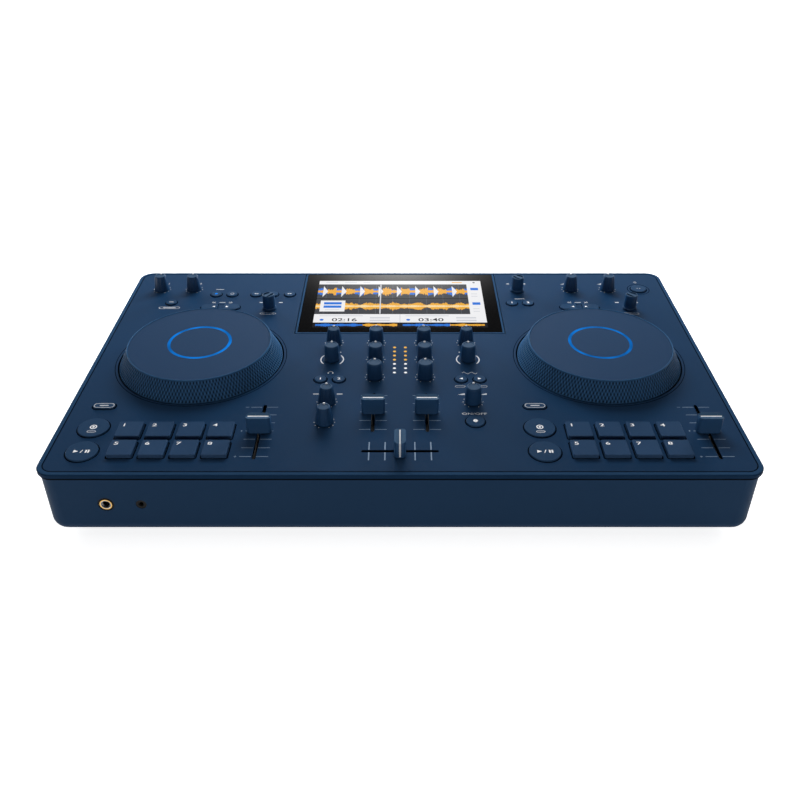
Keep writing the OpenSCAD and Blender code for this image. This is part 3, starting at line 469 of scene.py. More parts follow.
def plated_steel():
    """Dark plated screws: a metal with a fine turned streak in its roughness."""
    finish, tree, shader = bare_finish("screw_plating")
    place = coordinates(tree)
    streak = noise(tree, place, 3000.0, 3.0)
    link(tree, tones(tree, streak, srgb(70, 70, 74), srgb(120, 120, 126)), shader.inputs["Base Color"])
    link(tree, math(tree, "ADD", math(tree, "MULTIPLY", streak, 0.25), 0.28), shader.inputs["Roughness"])
    shader.inputs["Metallic"].default_value = 1.0
    return finish


def cover_glass():
    """Cover glass over a black border: a dark gloss with the faintest smears in its roughness."""
    finish, tree, shader = bare_finish("cover_glass")
    place = coordinates(tree)
    smear = noise(tree, place, 14.0, 4.0)
    link(tree, tones(tree, smear, srgb(5, 5, 6), srgb(11, 11, 13)), shader.inputs["Base Color"])
    link(tree, math(tree, "ADD", math(tree, "MULTIPLY", smear, 0.05), 0.05), shader.inputs["Roughness"])
    return finish


METER_TURN = -11.5


def meter_light():
    """Light pipes of the level meter: amber behind a turning depth and white in front of it."""
    finish, tree, shader = bare_finish("meter_light")
    place = coordinates(tree)
    behind = math(tree, "GREATER_THAN", axes(tree, place)["Y"], METER_TURN * MM)
    cloud = noise(tree, place, 900.0, 1.0)
    amber = tones(tree, cloud, srgb(248, 190, 62), srgb(255, 204, 80))
    white = tones(tree, cloud, srgb(246, 247, 250), srgb(255, 255, 255))
    link(tree, mixed(tree, behind, white, amber), shader.inputs["Emission Color"])
    settle(shader, {"Emission Strength": 1.0, "Base Color": (0.01, 0.01, 0.01, 1)})
    settle(shader, {"Specular IOR Level": 0.05, "Roughness": 0.35})
    return finish


PHONES_X = -254.4
PHONES_LOW, PHONES_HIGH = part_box("front_sockets")
PHONES_Z = (PHONES_LOW.z + PHONES_HIGH.z) / 2 / MM
RING_INNER_R = 4.45
# Outer edge of the brass; the ring beyond it is painted black as shade.
GOLD_EDGE_R = 5.3
SLEEVE_R = 3.1
MOUTH_DEPTH = 9.0
MOUTH_BACK_Y = PHONES_LOW.y / MM + MOUTH_DEPTH


def socket_finish():
    """Black socket mouldings, with brass and steel in the mouth of the large front socket.

    Both are bands of distances from its axis: steel on the sleeve, then brass on the ring. Past the brass,
    the ring's outer edge is painted black as shade.
    """
    finish, tree, shader = bare_finish("socket_moulding")
    place = coordinates(tree)
    axis = axes(tree, place)
    across = math(tree, "SUBTRACT", axis["X"], PHONES_X * MM)
    upward = math(tree, "SUBTRACT", axis["Z"], PHONES_Z * MM)
    squares = math(tree, "ADD", math(tree, "POWER", across, 2.0), math(tree, "POWER", upward, 2.0))
    away = math(tree, "SQRT", squares, 0.0)
    mouth = math(tree, "LESS_THAN", axis["Y"], MOUTH_BACK_Y * MM)
    metal = math(tree, "MULTIPLY", math(tree, "GREATER_THAN", away, SLEEVE_R * MM), mouth)
    metal = math(tree, "MULTIPLY", math(tree, "LESS_THAN", away, GOLD_EDGE_R * MM), metal)
    brass = math(tree, "GREATER_THAN", away, RING_INNER_R * MM)
    speck = noise(tree, place, 2500.0, 3.0)
    black = tones(tree, speck, srgb(5, 5, 6), srgb(13, 13, 14))
    gold = tones(tree, speck, srgb(205, 150, 70), srgb(240, 205, 130))
    steel = tones(tree, noise(tree, place, 420.0, 2.0), srgb(40, 40, 41), srgb(220, 220, 222))
    shade = mixed(tree, metal, black, mixed(tree, brass, steel, gold))
    link(tree, shade, shader.inputs["Base Color"])
    link(tree, metal, shader.inputs["Metallic"])
    link(tree, math(tree, "SUBTRACT", 0.6, math(tree, "MULTIPLY", metal, 0.3)), shader.inputs["Roughness"])
    shader.inputs["Specular IOR Level"].default_value = 0.2
    return finish


SCREEN_TINT = "screen_tint"
CELL_CONTRAST = 0.12


def screen_finish():
    """Lit picture on the display: each face glows in its own tint, broken by the display's fine cells."""
    finish, tree, shader = bare_finish("screen_picture")
    tint = tree.nodes.new("ShaderNodeAttribute")
    tint.attribute_name = SCREEN_TINT
    place = coordinates(tree)
    cells = noise(tree, place, 5000.0, 1.0)
    dim = tones(tree, cells, (0.6, 0.6, 0.6), (1, 1, 1))
    shade = mixed(tree, CELL_CONTRAST, tint.outputs["Color"], dim, "MULTIPLY")
    link(tree, shade, shader.inputs["Emission Color"])
    settle(shader, {"Emission Strength": 0.95, "Base Color": (0.01, 0.01, 0.012, 1), "Roughness": 0.06})
    return finish


def dress(finish, *nodes):
    """Gives the finish to nodes of the frame."""
    for node in nodes:
        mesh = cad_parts[node].data
        mesh.materials.clear()
        mesh.materials.append(finish)


dress(CASE_BLUE, "lower_case")
dress(FRAME_BLUE, "top_frame")
dress(PANEL_BLUE, "top_panel")
dress(FOOT_BLACK, "rubber_feet")
dress(plated_steel(), "case_screws")
dress(cover_glass(), "display_glass")
dress(INNER_GREY, "display_panel", "control_bodies")
dress(meter_light(), "meter_leds")
dress(BOARD_GREEN, "main_board")
dress(CELL_GREY, "battery_pack")
dress(socket_finish(), "front_sockets", "rear_sockets")
dress(WHEEL_BLUE, "left_jog_wheel", "right_jog_wheel")
dress(PLATE_BLUE, "left_jog_plate", "right_jog_plate")
dress(RING_GLOW, "left_jog_light", "right_jog_light")
dress(PAD_BLUE, "left_pads", "right_pads")
dress(CONTROL_BLUE, *KNOBS["wide"], *KNOBS["tapered"], *KNOBS["encoder"])
dress(CAP_BLUE, *FADERS, "crossfader")
for side in DECKS:
    dress(KEY_BLUE, *[f"{side}_{key}" for key in DECK_KEYS])
dress(KEY_BLUE, *SHARED_KEYS)


# Jog wheels

WHEEL_FOOT_R = 81.3
WHEEL_LIP_R = 72.0
WHEEL_PLATE_R = 70.6
WHEEL_FOOT_H = 0.5
WHEEL_SLOPE_H = 18.6
WHEEL_LIP_H = 19.6
WHEEL_DECK_H = 17.0
WHEEL_DECK_WALL = 2.5
WHEEL_UNDER_H = -1.0
WHEEL_WALL = 4.5
WHEEL_FOOT_ROUND = 0.2
HUB_R = 12.0
HUB_H = -4.0
SHAFT_R = 6.0
SHAFT_H = -15.4
DIMPLES_ROUND = 150
DIMPLE_ROWS = 6
DIMPLE_ROW_PITCH = 3.5
DIMPLE_TOP_ROW = 1.9
DIMPLE_DEPTH = 0.85
STEPS_PER_DIMPLE = 8
DIMPLE_FADE = 0.6
# Shares of painted light: on the plain faces of the wheel, and on its lip as a painted highlight.
PLAIN_PAINTED_LIGHT = 0.6
LIP_PAINTED_HIGHLIGHT = 0.65
RECESS_ROWS = 3
SHARP_ANGLE = 50


def dimple_share(turn, drop, pitch):
    """Share of a dimple's full depth at a place on the wall, from its way round and its drop under the lip.

    A wave round the wall, one to each dimple, is multiplied by a wave down it, half of one to each row,
    which sets the rows half a pitch apart. The product runs from -1 between dimples to 1 in their middles.
    """
    around = np.cos(2 * np.pi * turn / pitch)
    down = np.cos(np.pi * (drop - DIMPLE_TOP_ROW) / DIMPLE_ROW_PITCH)
    return (1 + around * down) / 2


def jog_wheel(side):
    """A turned wheel whose wall is pressed in by its dimples.

    The profile runs from the shaft's end up the hub, under the deck, down inside the wall, up the dimpled
    slope and over the lip to the middle of the deck, and is carried round the axis. On the slope each point
    moves inward, square to the slope, by the dimples' depth there. The attribute that the finish reads is
    painted light and shade: 0 in a dimple's middle, painted dark as shade, and 1 between dimples, painted
    light; the lip has a painted highlight, and the other faces a fixed share.
    """
    columns = DIMPLES_ROUND * STEPS_PER_DIMPLE
    angles = np.arange(columns) * 2 * np.pi / columns
    slope = np.array([WHEEL_LIP_R - WHEEL_FOOT_R, WHEEL_SLOPE_H - WHEEL_FOOT_H])
    length = np.hypot(*slope)
    outward = np.array([slope[1], -slope[0]]) / length
    climb = np.linspace(0, length, DIMPLE_ROWS * STEPS_PER_DIMPLE + 1)[:, None]
    pitch = 2 * np.pi * (WHEEL_FOOT_R + WHEEL_LIP_R) / 2 / DIMPLES_ROUND
    turn = angles[None, :] * pitch * DIMPLES_ROUND / (2 * np.pi)
    share = dimple_share(turn, length - climb, pitch)
    depth = DIMPLE_DEPTH * share * np.clip(np.minimum(climb, length - climb) / DIMPLE_FADE, 0, 1)
    wall_r = WHEEL_FOOT_R + slope[0] * climb / length - outward[0] * depth
    wall_h = WHEEL_FOOT_H + slope[1] * climb / length - outward[1] * depth
    under = WHEEL_DECK_H - WHEEL_DECK_WALL
    before = np.array([
        [SHAFT_R, SHAFT_H], [SHAFT_R, HUB_H], [HUB_R, HUB_H], [HUB_R, under],
        [WHEEL_LIP_R - WHEEL_WALL, under], [WHEEL_FOOT_R - WHEEL_WALL, WHEEL_UNDER_H],
        [WHEEL_FOOT_R + 2 * WHEEL_FOOT_ROUND, WHEEL_UNDER_H],
        [WHEEL_FOOT_R + WHEEL_FOOT_ROUND, WHEEL_FOOT_H - WHEEL_FOOT_ROUND],
    ])
    after = np.array([
        [WHEEL_LIP_R - 0.1, WHEEL_SLOPE_H + 0.5], [WHEEL_LIP_R - 0.35, WHEEL_LIP_H - 0.1],
        [WHEEL_LIP_R - 0.6, WHEEL_LIP_H], [WHEEL_PLATE_R + 0.35, WHEEL_LIP_H],
        [WHEEL_PLATE_R + 0.1, WHEEL_LIP_H - 0.1], [WHEEL_PLATE_R, WHEEL_LIP_H - 0.4],
        [WHEEL_PLATE_R, WHEEL_DECK_H], [HUB_R, WHEEL_DECK_H],
    ])
    rows = [turned_grid(before[:, :1], before[:, 1:], angles), turned_grid(wall_r, wall_h, angles)]
    rows.append(turned_grid(after[:, :1], after[:, 1:], angles))
    grid = np.concatenate(rows)
    # Painted light and shade: a plain share everywhere, dark in the dimples, a painted highlight on the lip.
    painted_light = np.full(grid.shape[:2], PLAIN_PAINTED_LIGHT)
    painted_light[len(before):len(before) + len(climb)] = 1 - share
    painted_light[len(grid) - len(after):len(grid) - RECESS_ROWS] = LIP_PAINTED_HIGHLIGHT
    poles = np.array([[0, 0, SHAFT_H], [0, 0, WHEEL_DECK_H]])
    points = np.concatenate([grid.reshape(-1, 3), poles])
    count = len(grid) * columns
    faces = ring_faces(len(grid), columns)
    faces += fan_faces(count, 0, columns, upward=False)
    faces += fan_faces(count + 1, count - columns, columns, upward=True)
    points = points + [*DECKS[side], PANEL_Z]
    name = f"{side}_dimpled_wheel"
    piece = new_piece(name, points, faces, f"{side}_jog", WHEEL_BLUE, smooth=True)
    piece.data.set_sharp_from_angle(angle=np.radians(SHARP_ANGLE))
    layer = piece.data.attributes.new(PAINTED_RELIEF_LIGHT, "FLOAT", "POINT")
    layer.data.foreach_set("value", np.append(painted_light.ravel(), [PLAIN_PAINTED_LIGHT] * len(poles)).astype(np.float32))
    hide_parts(f"{side}_jog_wheel")
    return piece


for side in DECKS:
    jog_wheel(side)


# Painted shade in the joints

GAP_SHADE_OFF = 0.75
GAP_SHADE_LINE = 1.0
SEAM_INSET = 4.9
SEAM_R = 10.8
PAD_PITCH = 27.4
PAIR_PITCH = 18.2
# Radii of the trim grooves round the jogs and the power key, where dark lines are painted as shade.
JOG_TRIM_R = 85.8
POWER_TRIM_R = 12.5
TRIM_LINE = 0.7
PAD_CORNER_R = 1.6
REAR_ROW_Y = 135.5
REAR_KEYS = {
    "light": [-212.0, REAR_ROW_Y], "ring": [-193.6, REAR_ROW_Y], "back": [-165.9, REAR_ROW_Y],
    "play": [-146.5, REAR_ROW_Y], "on": [-127.1, REAR_ROW_Y], "talk": [-259.5, 115.2],
}


def extent(node):
    """Width and depth of a node's box, in millimetres."""
    low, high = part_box(node)
    return np.array([high.x - low.x, high.y - low.y]) / MM


def pair_centres(node):
    """Centres of the two keys of a pair."""
    centre = middle(node)[0]
    return centre - [PAIR_PITCH / 2, 0], centre + [PAIR_PITCH / 2, 0]


def pad_centres(side):
    """Centres of a deck's pads, row by row from the back left."""
    number = np.arange(8)
    offsets = np.stack([(number % 4 - 1.5) * PAD_PITCH, (0.5 - number // 4) * PAD_PITCH], axis=-1)
    return middle(f"{side}_pads")[0] + offsets


def painted_gap_shade():
    """Painted shade round the keys, in the joint between panel and frame, and in the trim grooves: dark
    rings and lines.
    """
    shapes = []
    round_keys = [(middle(node)[0], extent(node)[1]) for node in ("effect_switch", "power_button")]
    for node in ("phones_buttons", "effect_buttons", "load_buttons"):
        round_keys += [(centre, extent(node)[1]) for centre in pair_centres(node)]
    round_keys += [(np.array(centre), extent("phones_buttons")[1]) for centre in REAR_KEYS.values()]
    for side, deck in DECKS.items():
        for key in ("cue_button", "play_button"):
            round_keys.append((middle(f"{side}_{key}")[0], extent(f"{side}_{key}")[1]))
        for key in ("shift_button", "jump_keys"):
            width, depth = extent(f"{side}_{key}") + 2 * GAP_SHADE_OFF
            shapes.append(pill_line(middle(f"{side}_{key}")[0], width, depth, GAP_SHADE_LINE))
        pad = extent(f"{side}_pads")[1] - PAD_PITCH + 2 * GAP_SHADE_OFF
        shapes += [block_line(centre, pad, pad, PAD_CORNER_R, GAP_SHADE_LINE) for centre in pad_centres(side)]
        shapes.append(arc(deck, JOG_TRIM_R, TRIM_LINE, 0, 360, 120))
    shapes += [arc(centre, size / 2 + GAP_SHADE_OFF, GAP_SHADE_LINE, 0, 360) for centre, size in round_keys]
    shapes.append(arc(middle("power_button")[0], POWER_TRIM_R, TRIM_LINE, 0, 360))
    width, depth = extent("top_frame") - 2 * SEAM_INSET
    shapes.append(block_line([0, 0], width, depth, SEAM_R, GAP_SHADE_LINE))
    return shapes


RIM_R = 15.0
BEAD_R = 1.3
BEAD_INSET = 2.1
BEAD_DROP = 5.4


def rim_shade_bead(sides=12):
    """Dark bead in the gap under the rim, as painted shade: a circle whose points are carried along the
    body's outline.

    Each point is inset from the outline, and dropped under the panel, by its own place on the circle.
    """
    width, depth = extent("top_frame")
    angle = np.arange(sides) * 2 * np.pi / sides
    insets = BEAD_INSET - BEAD_R * np.cos(angle)
    heights = PANEL_Z - BEAD_DROP + BEAD_R * np.sin(angle)
    edges = [block_edge(width - 2 * inset, depth - 2 * inset, RIM_R - inset)[:-1] for inset in insets]
    edges = np.stack(edges)
    columns = edges.shape[1]
    points = np.concatenate([edges, np.broadcast_to(heights[:, None, None], (sides, columns, 1))], axis=-1)
    faces = ring_faces(sides, columns, closed=True)
    return new_piece("rim_shade_bead", points.reshape(-1, 3), faces, "chassis", GAP_SHADE_BLACK, smooth=True)


# Painted shade in the joints: the dark bead under the rim and the dark rings and lines round the keys.
rim_shade_bead()
flat_piece("painted_gap_shade", painted_gap_shade(), PANEL_Z + INK_LIFT / 2, "chassis", GAP_SHADE_BLACK)


# Ink on the panel

def scale_dots(centre, radius, count=11, sweep=300.0, size=0.5):
    """Small dots on an arc about a knob, spread evenly over its sweep and open towards the front."""
    angle = np.radians(90 + np.linspace(-sweep / 2, sweep / 2, count))
    return discs(np.stack([np.cos(angle), np.sin(angle)], axis=-1) * radius + centre, size, 10)


def wedge(centre, width, height):
    """A level sign: a wedge that grows to the right."""
    x, y = width / 2, height / 2
    return corner_shape(centre, [[-x, -y], [x, -y], [x, y]])


def arrow(centre, size, way):
    """A solid triangle that points to the left (way -1) or to the right (way 1)."""
    corners = np.array([[-size / 2, -size / 2], [size / 2, 0], [-size / 2, size / 2]]) * [way, 1]
    return corner_shape(centre, corners if way > 0 else corners[::-1])


def headphones(centre, size):
    """A headphone sign: the band is an arc over two ear cups."""
    reach, line = 0.42 * size, 0.1 * size
    cups = bars([[-reach, -line], [reach, -line]], [0.2 * size, reach]) + centre
    return [arc(centre, reach, line, 0, 180), cups]


def ripple(centre, width, height, line=0.6, steps=40):
    """A sine line of two waves, drawn with even width along its height."""
    x = np.linspace(-0.5, 0.5, steps + 1)
    y = np.sin(x * 4 * np.pi) * height / 2
    lower = np.stack([x * width, y - line / 2], axis=-1)
    upper = np.stack([x * width, y + line / 2], axis=-1)
    return np.asarray(centre, float) + band(upper, lower)


def power_sign(centre, radius, line):
    """A power sign: an open ring with a bar in its gap."""
    bar = bars([[centre[0], centre[1] + radius * 0.8]], [line, radius * 1.1])
    return [arc(centre, radius, line, 120, 420), bar]


def chevrons(centre, size, way):
    """Two thin angle brackets that point one way."""
    shapes = []
    for step in (0, 1):
        tip = np.asarray(centre, float) + [way * (step * 0.6 + 0.25) * size, 0]
        for up in (-1, 1):
            place = tip + [-way * 0.22 * size, up * 0.22 * size]
            shapes.append(bars([place], [0.7 * size, 0.18 * size], -way * up * np.pi / 4))
    return shapes


TEMPO_X = 75.2
TEMPO_TICKS = np.linspace(-92.5, -167.4, 7)
TEMPO_SIGN_OFF = 16.1
TICK_LINE = 0.55
TICK_LENGTH = 10.4
TICK_OFF = 7.4


def deck_ink(x):
    """Marks beside a deck's tempo fader: ticks, broken by the slot, and signs at its ends and its middle."""
    slot = x + TEMPO_X
    ticks = np.concatenate([[[slot + s * TICK_OFF, y] for y in TEMPO_TICKS] for s in (-1, 1)])
    shapes = [bars(ticks, [TICK_LENGTH, TICK_LINE])]
    shapes.append(bars([[slot - 16.0, TEMPO_TICKS[0]]], [3.4, TICK_LINE]))
    shapes.append(discs([[slot - TEMPO_SIGN_OFF, TEMPO_TICKS[3]]], 0.75))
    plus = [[slot - TEMPO_SIGN_OFF, TEMPO_TICKS[6]]]
    shapes += [bars(plus, [2.4, TICK_LINE]), bars(plus, [TICK_LINE, 2.4])]
    return shapes


CHANNEL_X = 24.6
CHANNEL_TICKS = [-72.9, -86.3, -100.1, -113.9, -127.7]
CROSS_Y = -159.6
CROSS_TICKS = [-27.2, -13.1, 13.1, 27.2]
OUTER_X = 69.1
ARC_R = 11.5
ARC_LINE = 1.2
KNOB_SCALE_R = 9.4
KNOB_SIGN_Y = -70.3
PILL_Y = -57.0
MIC_FIGURE_Y = 163.2
DECK_SIGN_Y = 116.3
BROWSE_SIGN_X = 136.8
FIGURE_H = 3.4


def mixer_ticks():
    """Ticks of the channel faders and of the crossfader, broken by their slots."""
    ends = [[side * CHANNEL_X + s * TICK_OFF, y] for side in (-1, 1) for s in (-1, 1) for y in CHANNEL_TICKS]
    cross = [[x, CROSS_Y + s * TICK_OFF] for s in (-1, 1) for x in CROSS_TICKS]
    return [bars(ends, [TICK_LENGTH, TICK_LINE]), bars(cross, [1.1, 11.2])]


def panel_signs():
    """White signs on the panel: knob scales, arcs, level wedges and the plain figures."""
    shapes = []
    for knob in KNOBS["wide"] + KNOBS["tapered"]:
        if "filter" not in knob:
            shapes.append(scale_dots(middle(knob)[0], KNOB_SCALE_R))
    for side, knob in ((-1, "left_filter_knob"), (1, "right_filter_knob")):
        centre = middle(knob)[0]
        shapes += [arc(centre, ARC_R, ARC_LINE, 138, 225), arc(centre, ARC_R, ARC_LINE, -45, 42)]
        shapes.append(discs([centre + [-side * 7.9, 14.3]], 0.8))
    shapes += headphones([-OUTER_X, -32.4], 5.4)
    shapes.append(ripple([OUTER_X, -32.8], 15.0, 3.0))
    shapes.append(bars([[-80.6, KNOB_SIGN_Y], [-57.9, KNOB_SIGN_Y]], [5.4, 1.3]))
    shapes += [wedge([x, KNOB_SIGN_Y], 7.0, 2.6) for x in (58.6, 79.6)]
    shapes += [pill_line([x, PILL_Y], width, 2.8, 0.4) for x, width in ((58.6, 9.6), (81.6, 6.0))]
    shapes.append(lettering("ON/OFF", [OUTER_X, -103.1], 3.1, 1.5))
    talk = [REAR_KEYS["talk"][0], 103.6]
    shapes += [pill_line(talk, 23.0, 4.2, 0.5), bars([talk], [14.0, 1.2])]
    shapes.append(lettering("1", [-272.6, MIC_FIGURE_Y], FIGURE_H))
    shapes.append(lettering("2", [-235.4, MIC_FIGURE_Y], FIGURE_H))
    shapes.append(bars([[-210.0, 148.5]], [9.0, 0.9]))
    shapes += power_sign([278.4, 167.1], 1.5, 0.5)
    for knob in ("phones_level_knob", "output_level_knob"):
        shapes.append(wedge(middle(knob)[0] + [-6.6, 14.2], 6.4, 2.8))
    for s in (-1, 1):
        shapes.append(bars([[BROWSE_SIGN_X + s * 9.6, 162.9]], [3.4, 1.6]))
    shapes.append(bars([[BROWSE_SIGN_X, 125.0]], [11.0, 1.1]))
    for side, (x, _) in DECKS.items():
        for way in (-1, 1):
            shapes += chevrons([x + way * 8.4, DECK_SIGN_Y], 3.4, way)
        shapes.append(bars([[x, DECK_SIGN_Y]], [7.0, 0.8]))
        loop = middle(f"{side}_loop_encoder")[0]
        for s in (-1, 1):
            shapes.append(bars([loop + [s * 11.0, 14.7]], [4.2, 1.6]))
        shapes.append(pill_line(loop + [-0.4, -11.4], 17.4, 3.0, 0.4))
    return shapes


scales = [*deck_ink(DECKS["left"][0]), *deck_ink(DECKS["right"][0]), *mixer_ticks()]
flat_piece("panel_scales", scales, PANEL_Z + INK_LIFT, "chassis", INK_GREY)
flat_piece("panel_signs", panel_signs(), PANEL_Z + INK_LIFT, "chassis", INK_WHITE)


# Ink on the keys

def key_ink(name, shapes, body, height=BUTTON_TOP, finish=INK_BRIGHT):
    """Marks on top of a key, riding with it."""
    return flat_piece(name, shapes, height + INK_LIFT, body, finish)


def play_sign(centre):
    """Play and pause signs with a slanted bar between them."""
    x, y = centre
    return [
        arrow([x - 5.0, y], 4.2, 1),
        bars([[x, y]], [0.7, 4.2], -0.35),
        bars([[x + 3.9, y], [x + 6.1, y]], [1.5, 4.0]),
    ]


def deck_keys(side):
    """Marks on a deck's shift, cue and play buttons, its jump keys and its pads."""
    shift = middle(f"{side}_shift_button")[0]
    shift_marks = [pill_line(shift, 18.6, 6.4, 0.6), bars([shift], [8.4, 1.3])]
    key_ink(f"{side}_shift_ink", shift_marks, f"{side}_shift_button", finish=INK_WHITE)
    cue = middle(f"{side}_cue_button")[0]
    cue_marks = [arc(cue + [0, 0.4], 2.7, 1.0, 0, 360), discs([cue + [0, 0.4]], 1.2)]
    cue_marks.append(pill_line(cue + [0, -6.6], 7.6, 2.2, 0.4))
    key_ink(f"{side}_cue_ink", cue_marks, f"{side}_cue_button")
    play = middle(f"{side}_play_button")[0] + [0, -0.6]
    key_ink(f"{side}_play_ink", play_sign(play), f"{side}_play_button")
    jump = middle(f"{side}_jump_keys")[0]
    jump_marks = [arrow(jump + [way * 7.6, 0], 3.1, way) for way in (-1, 1)]
    key_ink(f"{side}_jump_ink", jump_marks, f"{side}_jump_keys")
    places = enumerate(pad_centres(side) + [-5.9, 5.6])
    figures = [lettering(str(number + 1), place, 4.0, 1.6) for number, place in places]
    key_ink(f"{side}_pad_ink", figures, f"{side}_pads", PAD_TOP)


for side in DECKS:
    deck_keys(side)


def pair_figures(node):
    """Figures 1 and 2 on the two keys of a pair."""
    first, second = pair_centres(node)
    return [lettering("1", first, FIGURE_H), lettering("2", second, FIGURE_H)]


key_ink("phones_ink", pair_figures("phones_buttons"), "phones_buttons")
first, second = pair_centres("effect_buttons")
key_ink("effect_ink", [arrow(first, 3.3, -1), arrow(second, 3.3, 1)], "effect_buttons")
key_ink("load_ink", pair_figures("load_buttons"), "load_buttons")
key_ink("effect_switch_ink", [discs([middle("effect_switch")[0]], 2.2, 28)], "effect_switch")
power = middle("power_button")[0]
key_ink("power_ink", [discs([power + [-1.5, 0], power + [1.5, 0]], 0.5, 12)], "power_button")


def double_arrow(centre, way):
    """Two small arrows in a row."""
    return [arrow([centre[0] + step, centre[1]], 2.4, way) for step in (-1.2, 1.2)]


rear_marks = [
    arc(REAR_KEYS["ring"], 1.9, 0.5, 0, 360), *double_arrow(REAR_KEYS["back"], -1),
    arrow(REAR_KEYS["play"], 2.8, 1), *double_arrow(REAR_KEYS["on"], 1),
    bars([REAR_KEYS["talk"]], [5.0, 1.2]),
]
key_ink("rear_ink", rear_marks, "rear_buttons", finish=INK_WHITE)
key_ink("rear_light", [discs([REAR_KEYS["light"]], 1.7, 24)], "rear_buttons", finish=KEY_GLOW)


# Marks on the knobs and the fader caps

KNOB_TOP_R = {"wide": 6.8, "tapered": 5.95}
PIP_R = 1.1
PIP_H = 0.8
PIP_SINK = 0.4
PIP_INSET = 0.3


def knob_pip(knob, radius, columns=16):
    """A raised white pip at the back of a knob's top.

    It is a dome on a short foot: rows of circles, drawn in by the cosine of their rise.
    """
    centre, top = middle(knob)
    angles = np.arange(columns) * 2 * np.pi / columns
    rise = np.radians([0, 30, 60])[:, None]
    grid = turned_grid(PIP_R * np.cos(rise), PIP_H * np.sin(rise), angles)
    grid = np.concatenate([grid[:1] - [0, 0, PIP_SINK], grid])
    points = np.concatenate([grid.reshape(-1, 3), [[0, 0, -PIP_SINK], [0, 0, PIP_H]]])
    faces = ring_faces(len(grid), columns) + fan_faces(len(points) - 2, 0, columns, upward=False)
    faces += fan_faces(len(points) - 1, (len(grid) - 1) * columns, columns, upward=True)
    points = points + [*(centre + [0, radius - PIP_R - PIP_INSET]), top]
    return new_piece(f"{knob}_pip", points, faces, knob, INK_WHITE, smooth=True)


for kind, radius in KNOB_TOP_R.items():
    for knob in KNOBS[kind]:
        knob_pip(knob, radius)

CAP_HOLLOW = 0.7
CAP_LINE = 1.6
CAP_LINE_LENGTH = 18.8
CROSS_LINE_INSET = 1.6
CROSS_LINE_FOOT = 2.0
for fader in FADERS:
    centre, top = middle(fader)
    key_ink(f"{fader}_line", [bars([centre], [CAP_LINE_LENGTH, CAP_LINE])], fader, top - CAP_HOLLOW)


def crossfader_line():
    """A strip of even width carried along the cap's hollow and then down its front end."""
    (x, _), top = middle("crossfader")
    low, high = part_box("crossfader")
    end = low.y / MM - INK_LIFT
    crest = top - CAP_HOLLOW + INK_LIFT
    path = np.array([
        [high.y / MM - CROSS_LINE_INSET, crest], [end, crest], [end, PANEL_Z + CROSS_LINE_FOOT],
    ])
    left = np.column_stack([np.full(3, x - CAP_LINE / 2), path])
    right = np.column_stack([np.full(3, x + CAP_LINE / 2), path])
    faces = [[0, 1, 4, 3], [1, 2, 5, 4]]
    new_piece("crossfader_line", np.concatenate([left, right]), faces, "crossfader", INK_WHITE)


crossfader_line()


# Picture on the display

SCREEN_LOW = np.array([-95.2, 59.0])
SCREEN_HIGH = np.array([95.2, 170.8])
LAYER = 0.012
DARK = srgb(62, 64, 68)
BLACK = srgb(14, 14, 16)
WHITE = srgb(246, 246, 248)
PALE = srgb(214, 216, 222)
AMBER = srgb(246, 178, 56)
BLUE = srgb(40, 120, 224)
SLATE = srgb(92, 96, 104)
CREAM = srgb(255, 226, 170)
INK = srgb(40, 42, 48)
TITLE_H = 9
COLUMN_W = 17.0
STRIP_LOW = 11
STRIP_TOP = 30
BAND_LINES = [31.0, 67.5]
UPPER_Y = 84.5
LOWER_Y = 48.5
WAVE_BARS = 220
FIGURE_STRETCH = 1.3


class Picture:
    """Flat tinted shapes on the display, gathered layer by layer and made one mesh."""

    def __init__(self):
        self.points, self.faces, self.tints, self.count = [], [], [], 0

    def place(self, plan, faces, tint, layer):
        """Adds faces on points in millimetres from the picture's lower left corner, in one tint."""
        height = np.full(len(plan), GLASS_Z + INK_LIFT + layer * LAYER)
        self.points.append(np.column_stack([plan + SCREEN_LOW, height]))
        self.faces += [[index + self.count for index in face] for face in faces]
        self.tints.append(np.tile([*tint, 1.0], (len(plan), 1)))
        self.count += len(plan)

    def add(self, shape, tint, layer):
        """Adds an array of polygons."""
        number, sides = shape.shape[:2]
        faces = np.arange(number * sides).reshape(number, sides).tolist()
        self.place(shape.reshape(-1, 2), faces, tint, layer)

    def figures(self, words, centre, height, tint, layer):
        """Adds plain figures."""
        self.place(*lettering(words, centre, height, FIGURE_STRETCH), tint, layer)

    def make(self, name):
        """The mesh, with each corner's tint as an attribute."""
        points = np.concatenate(self.points)
        piece = new_piece(name, points, self.faces, "chassis", screen_finish())
        layer = piece.data.attributes.new(SCREEN_TINT, "FLOAT_COLOR", "POINT")
        layer.data.foreach_set("color", np.concatenate(self.tints).astype(np.float32).ravel())
        return piece


def wave_bars(left, right, middle_line, reach, count, seed):
    """Upright bars on a middle line: seeded random heights, partly smoothed, under slow swells."""
    chance = np.random.default_rng(seed)
    x = np.linspace(left, right, count, endpoint=False)
    swell = 0.62 + 0.26 * np.sin(x * 0.33 + seed) * np.sin(x * 0.09)
    steady = np.convolve(chance.random(count + 4), np.ones(5) / 5, mode="valid")
    jag = steady * 0.6 + 0.4 * chance.random(count)
    half = np.clip(reach * swell * (0.35 + 0.9 * jag), 0.3, reach)
    width = (right - left) / count
    return rects(x, middle_line - half, x + width * 0.98, middle_line + half)


def rects(x0, y0, x1, y1):
    """Upright rectangles from arrays of their low and high corners."""
    x0, y0, x1, y1 = np.broadcast_arrays(*(np.atleast_1d(np.asarray(v, float)) for v in (x0, y0, x1, y1)))
    return np.stack([np.stack(pair, axis=-1) for pair in ((x0, y0), (x1, y0), (x1, y1), (x0, y1))], axis=1)


